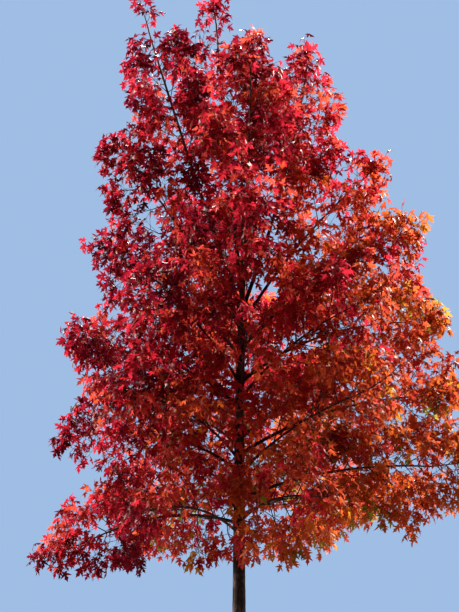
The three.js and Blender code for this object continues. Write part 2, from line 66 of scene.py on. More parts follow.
LARGEST_PIECE = 190_000  # triangles
WORD = 0xFFFFFFFF  # the numbers of a seeded row are kept to 32 bits
SEED_STEP = 0x6D2B79F5
STALK_SIDES = 3

log = logging.getLogger("red_maple")


class Tint(Enum):
    """The autumn tint of a mass of foliage, as its material slot names it."""

    CRIMSON = "foliage_crimson"
    SCARLET = "foliage_scarlet"
    ORANGE = "foliage_orange"
    RUST = "foliage_rust"


class Hue(Enum):
    """The colour of one spray of leaves, from the darkest red to the last green."""

    MAROON = 0
    WINE = 1
    CRIMSON = 2
    SCARLET = 3
    VERMILION = 4
    ORANGE = 5
    AMBER = 6
    OLIVE = 7


@dataclass(frozen=True)
class BoughSize:
    """The sizes that set one bough and the space of its foliage.

    leaves_trunk is the height where the bough leaves the trunk. bearing is in degrees from +X towards +Y.
    reach and top are the level distance and the height of the far end of its foliage. rise is the bough's
    first slope in degrees, spread half the width of its foliage, and bare the share of its length before it.
    fullness scales how far out the foliage reaches, apart from its leading shoot. inner_leaves is the share
    of leaves that still grow in the middle of it.
    """

    name: str
    leaves_trunk: float
    bearing: float
    reach: float
    top: float
    rise: float
    spread: float
    bare: float
    tint: Tint = Tint.CRIMSON
    fullness: float = 1.0
    inner_leaves: float = 0.1


BOUGH_SIZES = (
    BoughSize("low_left", 1.95, 196, 1.44, 1.76, 16, 0.35, 0.40, inner_leaves=0.5),
    BoughSize("low_front_left", 1.88, 238, 1.24, 2.05, 24, 0.54, 0.12, Tint.SCARLET, fullness=0.84),
    BoughSize("low_front_right", 1.96, 298, 1.33, 2.09, 22, 0.55, 0.12, Tint.RUST, fullness=0.84),
    BoughSize("low_right", 2.12, 350, 1.74, 2.38, 22, 0.56, 0.24, Tint.ORANGE, 1.12, inner_leaves=0.75),
    BoughSize("low_back_right", 2.00, 48, 1.56, 2.25, 24, 0.61, 0.14, Tint.ORANGE, 0.94, inner_leaves=0.35),
    BoughSize("low_back_left", 2.05, 132, 1.45, 2.24, 26, 0.63, 0.12, Tint.SCARLET, fullness=0.94),
    BoughSize("mid_left", 2.32, 184, 1.38, 2.68, 38, 0.51, 0.20, fullness=0.94),
    BoughSize("mid_front_left", 2.40, 226, 1.30, 2.86, 40, 0.54, 0.20, Tint.SCARLET, fullness=0.88),
    BoughSize("mid_front_right", 2.30, 316, 1.44, 2.86, 34, 0.57, 0.20, Tint.ORANGE, fullness=0.9),
    BoughSize("mid_right", 2.44, 4, 1.76, 3.02, 34, 0.55, 0.26, Tint.SCARLET),
    BoughSize("mid_back_right", 2.54, 58, 1.50, 3.06, 38, 0.61, 0.16, Tint.ORANGE),
    BoughSize("mid_back_left", 2.48, 120, 1.38, 3.00, 38, 0.61, 0.16),
    BoughSize("high_left", 2.79, 176, 1.38, 3.42, 46, 0.50, 0.22, Tint.SCARLET),
    BoughSize("high_front_left", 2.96, 228, 1.12, 3.68, 50, 0.51, 0.22, fullness=0.86),
    BoughSize("high_front", 2.80, 274, 1.18, 3.30, 44, 0.49, 0.26, fullness=0.62),
    BoughSize("high_front_right", 2.85, 322, 1.38, 3.56, 44, 0.54, 0.22, Tint.SCARLET, fullness=0.88),
    BoughSize("high_right", 2.98, 12, 1.74, 3.70, 42, 0.53, 0.26, Tint.ORANGE),
    BoughSize("high_back", 3.06, 86, 1.28, 3.90, 50, 0.63, 0.16, Tint.SCARLET),
    BoughSize("shoulder_left", 3.18, 166, 1.26, 4.30, 54, 0.50, 0.24, fullness=0.86),
    BoughSize("shoulder_right", 3.24, 354, 1.42, 4.28, 50, 0.50, 0.26, Tint.SCARLET),
    BoughSize("shoulder_front", 3.33, 272, 0.93, 4.50, 62, 0.54, 0.24, fullness=0.8),
    BoughSize("shoulder_back", 3.42, 106, 0.92, 4.90, 66, 0.58, 0.24),
    BoughSize("crown_left", 3.40, 188, 1.06, 5.08, 62, 0.45, 0.34, fullness=0.93),
    BoughSize("crown_right", 3.44, 2, 1.19, 4.92, 60, 0.47, 0.34, Tint.SCARLET, fullness=0.96),
    BoughSize("leader_left", 3.52, 174, 0.88, 6.52, 72, 0.43, 0.42, fullness=0.97),
    BoughSize("leader_right", 3.56, 10, 0.72, 6.14, 70, 0.47, 0.38, fullness=0.93),
    BoughSize("leader_front", 3.50, 280, 0.70, 5.60, 72, 0.50, 0.34),
    BoughSize("leader_back", 3.58, 78, 0.70, 5.80, 74, 0.50, 0.38),
    BoughSize("leader_top", 3.62, 150, 0.24, 6.66, 84, 0.43, 0.42, fullness=0.97, inner_leaves=0.4),
)


class SeededRandom:
    """Numbers from 0 to 1 that repeat for the same seed."""

    def __init__(self, seed: int) -> None:
        """Starts the row of numbers.

        Args:
            seed: Any whole number.
        """
        self.state = seed & WORD

    def number(self) -> float:
        """Returns the next number, from 0 to 1."""
        self.state = (self.state + SEED_STEP) & WORD
        mixed = ((self.state ^ (self.state >> 15)) * (self.state | 1)) & WORD
        mixed ^= (mixed + (((mixed ^ (mixed >> 7)) * (mixed | 61)) & WORD)) & WORD
        return ((mixed ^ (mixed >> 14)) & WORD) / 2**32

    def stray(self, most: float) -> float:
        """Returns a number from -most to most."""
        return (2 * self.number() - 1) * most

    def scatter(self, most: float) -> np.ndarray:
        """Returns a vector whose parts are each from -most to most."""
        return np.array([self.stray(most), self.stray(most), self.stray(most)])


def unit(vector: np.ndarray) -> np.ndarray:
    """Returns the vector at length 1."""
    return vector / math.sqrt(float(vector @ vector))


def level(bearing: float) -> np.ndarray:
    """Returns the level unit vector at a bearing in degrees."""
    return np.array([math.cos(math.radians(bearing)), math.sin(math.radians(bearing)), 0.0])


def across_and_over(direction: np.ndarray) -> tuple[np.ndarray, np.ndarray]:
    """Makes a right-handed frame with a direction.

    Args:
        direction: A unit vector.

    Returns:
        Two unit vectors: one level, and one as upright as it can be.
    """
    upright = 1e-6
    across = np.cross(direction, UP)
    if across @ across < upright:
        across = np.array([0.0, 1.0, 0.0])
    across = unit(across)
    return across, unit(np.cross(across, direction))


@dataclass(frozen=True)
class TrunkSize:
    """The trunk from its flat cut to the fork."""

    fork_height: float = 3.65
    foot_radius: float = 0.056
    fork_radius: float = 0.029
    taper_power: float = 1.15
    flare_radius: float = 0.034
    flare_height: float = 0.12
    buttresses: int = 5
    buttress_depth: float = 0.28
    lean: float = 0.045
    sway: float = 0.009

    def middle(self, height: float) -> np.ndarray:
        """Returns the middle of the trunk at a height."""
        share = height / self.fork_height
        swing = self.sway * math.sin(2 * math.pi * share)
        return np.array([self.lean * share**2 + swing * share, -swing * (1 - share), height])

    def radius(self, height: float, angle: float = 0.0) -> float:
        """Works out the trunk's radius with its root flare.

        Args:
            height: Height above the flat cut.
            angle: Direction round the trunk, in radians.

        Returns:
            The radius there, without bark relief.
        """
        share = min(height / self.fork_height, 1.0)
        taper = (1 - share) ** self.taper_power
        stem = self.fork_radius + (self.foot_radius - self.fork_radius) * taper
        wave = 1 + self.buttress_depth * math.cos(self.buttresses * angle)
        return stem + self.flare_radius * wave * math.exp(-height / self.flare_height)


@dataclass(frozen=True)
class LimbRule:
    """How every bough tapers, and how its foliage's space lies round its outer part."""

    root_radius: float = 0.007
    radius_per_length: float = 0.0038
    tip_share: float = 0.45
    collar_share: float = 0.35
    collar_length: float = 0.055
    arch: float = 0.5
    overhang: float = 0.38
    depth_share: float = 0.95
    last_entry: float = 0.9
    entry_steps: int = 200


class Bough:
    """A bough's own line, its radius and the ellipsoid of the foliage round its outer part."""

    def __init__(self, size: BoughSize, trunk: TrunkSize, rule: LimbRule) -> None:
        """Plans a bough.

        Args:
            size: The bough's sizes.
            trunk: The trunk that carries it.
            rule: How boughs taper and bear foliage.
        """
        self.size = size
        self.rule = rule
        heading = level(size.bearing)
        start = trunk.middle(size.leaves_trunk)
        outer = heading * size.reach + UP * size.top
        end = outer - unit(outer - start) * rule.overhang
        self.length = float(np.linalg.norm(end - start))
        rise = math.radians(size.rise)
        first = heading * math.cos(rise) + UP * math.sin(rise)
        self.knots = (start, start + first * rule.arch * self.length, end)
        self.root_radius = rule.root_radius + rule.radius_per_length * self.length
        inner = self.point(size.bare)
        axis = unit(outer - inner)
        self.middle = (inner + outer) / 2
        self.axes = np.array([axis, *across_and_over(axis)])
        half_length = float(np.linalg.norm(outer - inner)) / 2
        self.halves = np.array([half_length, size.spread, size.spread * rule.depth_share])
        self.entry = size.bare

    def point(self, share: float) -> np.ndarray:
        """Returns the point at a share of the bough's line."""
        start, bend, end = self.knots
        return start * (1 - share) ** 2 + bend * (2 * share * (1 - share)) + end * share**2

    def tangent(self, share: float) -> np.ndarray:
        """Returns the unit vector along the line at a share of it."""
        start, bend, end = self.knots
        return unit((bend - start) * (1 - share) + (end - bend) * share)

    def radius(self, share: float) -> float:
        """Returns the radius at a share of the line, with the collar where it leaves the trunk."""
        taper = 1 - (1 - self.rule.tip_share) * share
        collar = self.rule.collar_share * math.exp(-share * self.length / self.rule.collar_length)
        return self.root_radius * (taper + collar)

    def reach_along(self, direction: np.ndarray) -> float:
        """Returns how far the foliage's ellipsoid reaches from its middle in a direction."""
        return float(np.linalg.norm(self.halves * (self.axes @ direction)))


class Space:
    """The space that one bough's foliage keeps to.

    It lies between flat walls, inside the crown, and no further than proud past the solids' own box.
    """

    proud = np.array([0.05, 0.035, 0.14])

    def __init__(self, bough: Bough, boughs: list[Bough], blend: float = 0.18) -> None:
        """Sets the walls midway between this bough's ellipsoid and every other.

        Args:
            bough: The bough whose foliage fills the space.
            boughs: All the boughs of the crown.
            blend: How smoothly neighbouring ellipsoids flow into each other.
        """
        self.blend = blend
        self.low = np.array(cad_box[0]) - self.proud
        self.high = np.array(cad_box[1]) + self.proud
        others = [other for other in boughs if other is not bough]
        offsets = np.array([other.middle - bough.middle for other in others])
        distances = np.linalg.norm(offsets, axis=1)
        self.origin = bough.middle
        self.facings = offsets / distances[:, None]
        own = np.array([bough.reach_along(facing) for facing in self.facings])
        theirs = np.array([o.reach_along(f) for o, f in zip(others, self.facings)])
        self.walls = (distances + own - theirs) / 2
        self.middles = np.array([other.middle for other in boughs])
        self.frames = np.array([other.axes / other.halves[:, None] for other in boughs])

    def holds(self, points: np.ndarray, depth: float = 1.0, overlap: float = 0.0) -> np.ndarray:
        """Tests points against the space.

        Args:
            points: One row for each point.
            depth: How far out in the crown they may lie, where 1 is its skin.
            overlap: How far past the walls they may lie, among the next mass's twigs.

        Returns:
            True for each point that lies in the space.
        """
        inside = ((points - self.origin) @ self.facings.T <= self.walls + overlap).all(axis=1)
        inside &= ((points >= self.low) & (points <= self.high)).all(axis=1)
        return inside & (self.depth_of(points) <= depth)

    def depth_of(self, points: np.ndarray) -> np.ndarray:
        """Works out how far out in the crown points are, where 0 is a bough's middle and 1 the crown's skin.

        Args:
            points: One row for each point.

        Returns:
            A number for each point. Neighbouring ellipsoids flow into each other.
        """
        local = np.einsum("bij,pbj->pbi", self.frames, points[:, None, :] - self.middles)
        depths = np.linalg.norm(local, axis=2)
        return -self.blend * np.log(np.exp(-depths / self.blend).sum(axis=1))


@dataclass(frozen=True)
class Limbs:
    """Balls along the trunk and the bare boughs, which foliage keeps clear of.

    A mass looks at the balls within margin of its own reach, apart from those within own_root of the foot
    of its stem.
    """

    middles: np.ndarray
    radii: np.ndarray
    margin: float = 0.1
    own_root: float = 0.03

    @classmethod
    def along(cls, trunk: TrunkSize, boughs: list[Bough], spacing: float = 0.02) -> "Limbs":
        """Sets balls along every limb.

        Args:
            trunk: The trunk.
            boughs: All the boughs, with their entries known.
            spacing: Distance between balls along a limb.

        Returns:
            The balls.
        """
        middles, radii = [], []
        for height in np.arange(0.0, trunk.fork_height, spacing):
            middles.append(trunk.middle(height))
            radii.append(trunk.radius(height))
        for bough in boughs:
            for share in np.linspace(0, bough.entry, max(2, int(bough.length * bough.entry / spacing))):
                middles.append(bough.point(share))
                radii.append(bough.radius(share))
        return cls(np.array(middles), np.array(radii))

    def near(self, middle: np.ndarray, distance: float, apart_from: np.ndarray) -> "Limbs":
        """Picks the balls that matter to one mass.

        Args:
            middle: The middle of the mass.
            distance: How far its foliage reaches from there.
            apart_from: Where its own stem leaves its bough, so that the stem isn't stopped there.

        Returns:
            Those balls, as another set of limbs.
        """
        keep = np.linalg.norm(self.middles - middle, axis=1) < distance + self.margin
        keep &= np.linalg.norm(self.middles - apart_from, axis=1) > self.own_root
        return Limbs(self.middles[keep], self.radii[keep])

    def clear_of(self, points: np.ndarray, distance: float) -> np.ndarray:
        """Tests points against the limbs.

        Args:
            points: One row for each point.
            distance: Room that each point needs.

        Returns:
            True for each point that has the room.
        """
        if not len(self.radii):
            return np.ones(len(points), bool)
        gaps = np.linalg.norm(points[:, None, :] - self.middles, axis=2) - self.radii
        return gaps.min(axis=1) > distance


@dataclass(frozen=True)
class ShootRule:
    """How shoots of one order grow, and how pairs of them leave the shoot that bears them.

    lengths are those of the first and the last shoot along their bearer, and radii those at a shoot's foot
    and tip. first and last are shares of the bearer's length. Angles are in degrees, and each pair is turned
    from the one before it.
    """

    lengths: tuple[float, float]
    shortest: float
    lift: float
    wobble: float
    step: float
    radii: tuple[float, float]
    spacing: float = 0.0
    first: float = 0.0
    last: float = 0.0
    angle: float = 0.0
    angle_stray: float = 0.0
    length_stray: float = 0.0
    keep: float = 1.0
    pair_turn: float = 90.0
    turn_stray: float = 20.0


@dataclass(frozen=True)
class LeafRule:
    """How leaves stand on a shoot and hang from it.

    They are smaller below the second of heights, down to low_share of their size below the first. Leaves are
    thinned out from the second of inner_depths inwards. skin_room and ceiling_room are how far a tip may pass
    the crown's skin and its top.
    """

    spacing: float = 0.04
    first: float = 0.03
    stalk: tuple[float, float] = (0.030, 0.062)
    stalk_lean: float = 0.62
    stalk_lift: float = 0.18
    stalk_scatter: float = 0.32
    sizes: tuple[float, float] = (0.062, 0.092)
    hang: float = 0.62
    blade_scatter: float = 0.42
    facing_up: float = 0.55
    facing_out: float = 0.35
    facing_scatter: float = 0.75
    keep: float = 0.93
    lowest_place: float = 0.1
    twig_bare: float = 0.55
    pair_stray: float = 0.3
    stalk_weight: float = 0.7
    outward_height: float = 0.2
    limb_room: float = 0.02
    skin_room: float = 0.03
    ceiling_room: float = 0.06
    inner_depths: tuple[float, float] = (0.3, 0.8)
    low_share: float = 0.77
    heights: tuple[float, float] = (2.4, 4.6)

    def share_at(self, height: float) -> float:
        """Returns the share of their full size that leaves have at a height."""
        return float(np.interp(height, self.heights, (self.low_share, 1.0)))


@dataclass
class Shoot:
    """One stem, twig or twiglet: its points and the radius at each."""

    points: np.ndarray
    radii: np.ndarray
    sides: int

    @property
    def length(self) -> float:
        """Returns the length along the points."""
        return float(np.linalg.norm(np.diff(self.points, axis=0), axis=1).sum())

    def at(self, share: float) -> tuple[np.ndarray, np.ndarray]:
        """Finds a place on the shoot.

        Args:
            share: Share of its length, from 0 to 1.

        Returns:
            The point there, and the unit vector along the shoot.
        """
        position = share * (len(self.points) - 1)
        index = min(int(position), len(self.points) - 2)
        start, end = self.points[index], self.points[index + 1]
        return start + (end - start) * (position - index), unit(end - start)


@dataclass
class Leaves:
    """Leaves as rows of numbers: where each one's stalk and blade start, how it is turned, and what it is."""

    feet: list[np.ndarray] = field(default_factory=list)
    bases: list[np.ndarray] = field(default_factory=list)
    alongs: list[np.ndarray] = field(default_factory=list)
    faces: list[np.ndarray] = field(default_factory=list)
    sizes: list[float] = field(default_factory=list)
    hues: list[int] = field(default_factory=list)
    forms: list[int] = field(default_factory=list)

    def add(self, other: "Leaves", keep: np.ndarray) -> None:
        """Takes over the leaves of another set that are marked to be kept.

        Args:
            other: The other set.
            keep: True for each leaf that is taken over.
        """
        for name in self.__dataclass_fields__:
            rows = getattr(other, name)
            getattr(self, name).extend(row for row, kept in zip(rows, keep) if kept)


@dataclass(frozen=True)
class HueRule:
    """How autumn colour falls on the crown by mass, side and spray, with darker reds higher up as painted
    shade.
    """

    warmth: tuple[tuple[Tint, float], ...] = (
        (Tint.CRIMSON, 0.385),
        (Tint.SCARLET, 0.43),
        (Tint.ORANGE, 0.52),
        (Tint.RUST, 0.49),
    )
    right_adds: float = 0.15
    # Warmth added per metre above middle_height. It is negative, so sprays higher up get darker reds as
    # painted shade.
    painted_shade_by_height: float = -0.04
    middle_height: float = 3.9
    spray_stray: float = 0.21
    twiglet_stray: float = 0.16
    limits: tuple[float, ...] = (0.17, 0.28, 0.44, 0.58, 0.74, 0.92, 0.98)
    inner_green: float = 0.34
    inner_warmth: float = 0.9
    inner_stray: float = 0.08
    inner_distance: float = 0.8
    inner_height: float = 2.9

    def warmth_at(self, tint: Tint, point: np.ndarray, random: SeededRandom) -> float:
        """Picks how warm one spray is.

        Args:
            tint: The tint of its mass.
            point: Where the spray is.
            random: The mass's own row of numbers.

        Returns:
            A number from about 0, the darkest red, to 1, green.
        """
        warmth = dict(self.warmth)[tint]
        # Sprays to the right are warmer. The height term makes sprays higher up darker as painted shade.
        warmth += self.right_adds * point[0] + self.painted_shade_by_height * (point[2] - self.middle_height)
        warmth += random.stray(self.spray_stray)
        is_inner = math.hypot(point[0], point[1]) < self.inner_distance and point[2] < self.inner_height
        if is_inner and random.number() < self.inner_green:
            warmth = self.inner_warmth + random.stray(self.inner_stray)
        return warmth

    def hue_of(self, warmth: float) -> Hue:
        """Returns the hue of a spray of some warmth."""
        return Hue(sum(warmth > limit for limit in self.limits))


@dataclass(frozen=True)
class FoliageRule:
    """The seeded rule by which a mass grows from its bough's tip.

    Depths are how far out in the crown a spray may reach, where 1 is its skin, and depth_power draws them
    outwards. Only narrow spires pass the ceiling. limb_reach is added to a mass's size to find the limbs
    near it.
    """

    seed: int = 20261
    stem_step: float = 0.05
    fewest_steps: int = 3
    stem_sides: int = 7
    shoot_sides: int = 3
    leaf_room: float = 0.07
    wall_overlap: float = 0.14
    limb_reach: float = 0.3
    depths: tuple[float, float] = (0.8, 1.08)
    depth_power: float = 0.6
    leader_depth: float = 1.14
    ceiling: float = 5.99
    ceiling_wave: float = 0.07
    ceiling_turns: tuple[float, float] = (9.0, 5.0)
    spire_reach: float = 0.07
    leading: ShootRule = ShootRule(
        lengths=(0.62, 0.62), shortest=0.06, lift=0.5, wobble=0.08, step=0.05, radii=(0.003, 0.0015),
    )
    twig: ShootRule = ShootRule(
        lengths=(0.66, 0.3), shortest=0.09, lift=0.45, wobble=0.10, step=0.05, radii=(0.0042, 0.0017),
        spacing=0.09, first=0.03, last=0.97, angle=56.0, angle_stray=12.0, length_stray=0.25, keep=0.96,
    )
    outer_twig: ShootRule = ShootRule(
        lengths=(0.34, 0.09), shortest=0.05, lift=0.8, wobble=0.10, step=0.04, radii=(0.0028, 0.0014),
        spacing=0.075, first=0.03, last=0.97, angle=50.0, angle_stray=12.0, length_stray=0.3, keep=0.96,
    )
    twiglet: ShootRule = ShootRule(
        lengths=(0.2, 0.1), shortest=0.035, lift=0.8, wobble=0.14, step=0.035, radii=(0.0019, 0.0011),
        spacing=0.072, first=0.18, last=0.94, angle=48.0, angle_stray=14.0, length_stray=0.35, keep=0.9,
    )
    leaf: LeafRule = LeafRule()
    hue: HueRule = HueRule()

    def under_ceiling(self, points: np.ndarray, room: float = 0.0) -> np.ndarray:
        """Tests points against the crown's wavy top, which only the spires pass.

        Args:
            points: One row for each point.
            room: How far over the top they may still lie.

        Returns:
            True for each point that lies under it.
        """
        right, away = self.ceiling_turns
        wave = self.ceiling_wave * np.sin(right * points[:, 0] + away * points[:, 1])
        return points[:, 2] < self.ceiling + wave + room


class Mass:
    """A mass of foliage: a stem that goes on from its bough, twigs in pairs along it, twiglets and leaves."""

    def __init__(
        self, bough: Bough, space: Space, limbs: Limbs, rule: FoliageRule, random: SeededRandom
    ) -> None:
        """Prepares a mass to grow.

        Args:
            bough: The bough that bears it.
            space: The space that it keeps to.
            limbs: The trunk and bare boughs, which it keeps clear of.
            rule: The rule by which it grows.
            random: Its own row of numbers.
        """
        self.bough = bough
        self.space = space
        reach = float(bough.halves.max()) + rule.limb_reach
        self.limbs = limbs.near(bough.middle, reach, bough.point(bough.entry))
        self.rule = rule
        self.random = random
        self.shoots: list[Shoot] = []
        self.leaves = Leaves()

    def grow(self) -> None:
        """Grows the stem, then its twigs with their twiglets and leaves."""
        stem = self.stem()
        leader = self.leading_shoot(stem)
        for twig, depth in self.side_shoots(stem, self.rule.twig):
            self.dress_twig(twig, depth)
        if leader is None:
            return
        for twig, depth in self.side_shoots(leader, self.rule.outer_twig):
            self.dress_twig(twig, depth)
        self.dress_twig(leader, self.rule.leader_depth)

    def stem(self) -> Shoot:
        """Returns the stem, which follows the bough's line from where the bough ends to its tip."""
        bough = self.bough
        count = max(self.rule.fewest_steps, round(bough.length * (1 - bough.entry) / self.rule.stem_step))
        shares = np.linspace(bough.entry, 1, count + 1)
        points = np.array([bough.point(share) for share in shares])
        radii = np.array([bough.radius(share) for share in shares])
        stem = Shoot(points, radii, self.rule.stem_sides)
        self.shoots.append(stem)
        return stem

    def leading_shoot(self, stem: Shoot) -> Shoot | None:
        """Grows the shoot that carries the stem on to the edge of the space.

        Args:
            stem: The stem.

        Returns:
            The shoot, or None if there is no room for one.
        """
        rule = self.rule.leading
        tip, direction = stem.at(1.0)
        points = self.walk(tip, direction, rule.lengths[0], rule, self.rule.leader_depth)
        if points is None:
            return None
        radii = np.linspace(stem.radii[-1], rule.radii[1], len(points))
        shoot = Shoot(points, radii, self.rule.stem_sides)
        self.shoots.append(shoot)
        return shoot

    def walk(
        self, start: np.ndarray, heading: np.ndarray, longest: float, rule: ShootRule, depth: float
    ) -> np.ndarray | None:
        """Lays a shoot's points one step at a time while they stay in the space and clear of limbs.

        Args:
            start: Where the shoot starts.
            heading: Its first direction.
            longest: Its greatest length.
            rule: How shoots of this order bend.
            depth: How far out in the crown it may reach, where 1 is the crown's skin.

        Returns:
            The points, or None if the shoot would be too short.
        """
        points = [start]
        is_leader = depth >= self.rule.leader_depth
        is_spire = is_leader or not self.rule.under_ceiling(start[None, :])[0]
        if is_spire and not is_leader:
            longest = min(longest, self.rule.spire_reach)
        for _ in range(max(1, round(longest / rule.step))):
            heading = unit(heading + UP * rule.lift * rule.step + self.random.scatter(rule.wobble))
            point = points[-1] + heading * rule.step
            probe = (point + heading * self.rule.leaf_room)[None, :]
            if not self.space.holds(probe, depth, self.rule.wall_overlap)[0]:
                break
            if not is_spire and not self.rule.under_ceiling(point[None, :])[0]:
                break
            if not self.limbs.clear_of(point[None, :], rule.radii[0])[0]:
                break
            points.append(point)
        if (len(points) - 1) * rule.step < rule.shortest:
            return None
        return np.array(points)

    def side_shoots(self, bearer: Shoot, rule: ShootRule) -> list[tuple[Shoot, float]]:
        """Grows opposite pairs of shoots along another shoot.

        Args:
            bearer: The shoot that bears them.
            rule: How shoots of this order leave it.

        Returns:
            Each shoot with how far out in the crown its spray may reach.
        """
        random = self.random
        grown = []
        first_turn = random.number() * math.pi
        low, high = self.rule.depths
        pairs = max(1, round(bearer.length * (rule.last - rule.first) / rule.spacing))
        for pair in range(pairs):
            share = rule.first + (rule.last - rule.first) * (pair + 0.5) / pairs
            start, along = bearer.at(share)
            for opposite in (0.0, 180.0):
                degrees = pair * rule.pair_turn + opposite + random.stray(rule.turn_stray)
                heading = self.shoot_direction(along, first_turn + math.radians(degrees), rule)
                longest = rule.lengths[0] + (rule.lengths[1] - rule.lengths[0]) * share
                longest *= 1 + random.stray(rule.length_stray)
                outwards = random.number() ** self.rule.depth_power
                depth = (low + (high - low) * outwards) * self.bough.size.fullness
                if random.number() > rule.keep:
                    continue
                points = self.walk(start, heading, longest, rule, depth)
                if points is None:
                    continue
                radii = np.linspace(*rule.radii, len(points))
                shoot = Shoot(points, radii, self.rule.shoot_sides)
                self.shoots.append(shoot)
                grown.append((shoot, depth))
        return grown

    def shoot_direction(self, along: np.ndarray, turn: float, rule: ShootRule) -> np.ndarray:
        """Works out the direction in which a shoot leaves its bearer.

        Args:
            along: Unit vector along the bearer.
            turn: Angle round the bearer, in radians.
            rule: How shoots of this order leave it.

        Returns:
            A unit vector.
        """
        across, over = across_and_over(along)
        out = across * math.cos(turn) + over * math.sin(turn)
        angle = math.radians(rule.angle + self.random.stray(rule.angle_stray))
        return along * math.cos(angle) + out * math.sin(angle)

    def dress_twig(self, twig: Shoot, depth: float) -> None:
        """Grows a twig's twiglets, and gives them and the twig's own tip their leaves in one spray's hue.

        Args:
            twig: The twig.
            depth: How far out in the crown its leaves may reach.
        """
        hue_rule = self.rule.hue
        warmth = hue_rule.warmth_at(self.bough.size.tint, twig.points[-1], self.random)
        for twiglet, _ in self.side_shoots(twig, self.rule.twiglet):
            hue = hue_rule.hue_of(warmth + self.random.stray(hue_rule.twiglet_stray))
            self.leaf_shoot(twiglet, hue, depth, 0.0)
        self.leaf_shoot(twig, hue_rule.hue_of(warmth), depth, self.rule.leaf.twig_bare)

    def leaf_shoot(self, shoot: Shoot, hue: Hue, depth: float, bare: float) -> None:
        """Hangs opposite pairs of leaves along a shoot, and one at its tip.

        Args:
            shoot: The shoot.
            hue: The hue of its leaves.
            depth: How far out in the crown they may reach.
            bare: Share of the shoot that bears no leaves.
        """
        rule = self.rule.leaf
        length = shoot.length
        spacing = rule.spacing * rule.share_at(float(shoot.points[-1][2]))
        nodes = int((length * (1 - bare) - rule.first) / spacing) + 1
        turn = self.random.number() * math.pi
        tried = Leaves()
        for node in range(max(nodes, 1)):
            share = 1 - node * spacing / length
            if share < max(bare, rule.lowest_place):
                break
            foot, along = shoot.at(share)
            across, over = across_and_over(along)
            for hand in (1, -1):
                if self.random.number() > rule.keep:
                    continue
                angle = turn + node * math.pi / 2 + self.random.stray(rule.pair_stray)
                out = (across * math.cos(angle) + over * math.sin(angle)) * hand
                self.try_leaf(tried, foot, along * rule.stalk_lean + out, hue)
        tip, along = shoot.at(1.0)
        self.try_leaf(tried, tip, along, hue)
        self.keep_fitting(tried, depth)

    def try_leaf(self, tried: Leaves, foot: np.ndarray, direction: np.ndarray, hue: Hue) -> None:
        """Turns one leaf at a place, without testing whether it fits.

        Args:
            tried: The set that it is put in.
            foot: Where its stalk stands.
            direction: The way that the stalk points.
            hue: The leaf's hue.
        """
        rule, random = self.rule.leaf, self.random
        stalk = unit(direction + UP * rule.stalk_lift + random.scatter(rule.stalk_scatter))
        share = rule.share_at(float(foot[2]))
        length = (rule.stalk[0] + (rule.stalk[1] - rule.stalk[0]) * random.number()) * share
        along = unit(stalk * rule.stalk_weight - UP * rule.hang + random.scatter(rule.blade_scatter))
        outward = foot - np.array([0.0, 0.0, foot[2] - rule.outward_height])
        wanted = UP * rule.facing_up + unit(outward) * rule.facing_out + random.scatter(rule.facing_scatter)
        face = unit(wanted - along * float(wanted @ along))
        tried.feet.append(foot)
        tried.bases.append(foot + stalk * length)
        tried.alongs.append(along)
        tried.faces.append(face)
        tried.sizes.append((rule.sizes[0] + (rule.sizes[1] - rule.sizes[0]) * random.number()) * share)
        tried.hues.append(hue.value)
        tried.forms.append(int(random.number() * len(LeafForm)))

    def keep_fitting(self, tried: Leaves, depth: float) -> None:
        """Keeps the leaves that stay in the space and clear of limbs.

        Args:
            tried: The leaves to test.
            depth: How far out in the crown they may reach.
        """
        rule = self.rule.leaf
        overlap = self.rule.wall_overlap
        furthest = depth + rule.skin_room
        bases = np.array(tried.bases)
        tips = bases + np.array(tried.alongs) * np.array(tried.sizes)[:, None]
        middles = (bases + tips) / 2
        fits = self.space.holds(tips, furthest, overlap) & self.space.holds(bases, furthest, overlap)
        low, high = rule.inner_depths
        outwards = np.clip((self.space.depth_of(bases) - low) / (high - low), 0, 1)
        inner = self.bough.size.inner_leaves
        chances = inner + (1 - inner) * outwards
        fits &= np.array([self.random.number() for _ in bases]) < chances
        fits &= self.limbs.clear_of(middles, rule.limb_room)
        is_on_spire = ~self.rule.under_ceiling(np.array(tried.feet))
        fits &= self.rule.under_ceiling(tips, rule.ceiling_room) | is_on_spire
        self.leaves.add(tried, fits)


class LeafForm(Enum):
    """How a leaf's blade is folded along its rib and curled towards its tip."""

    FLAT = (0.12, 0.12)
    FOLDED = (0.50, 0.20)
    CURLED = (0.26, 0.46)


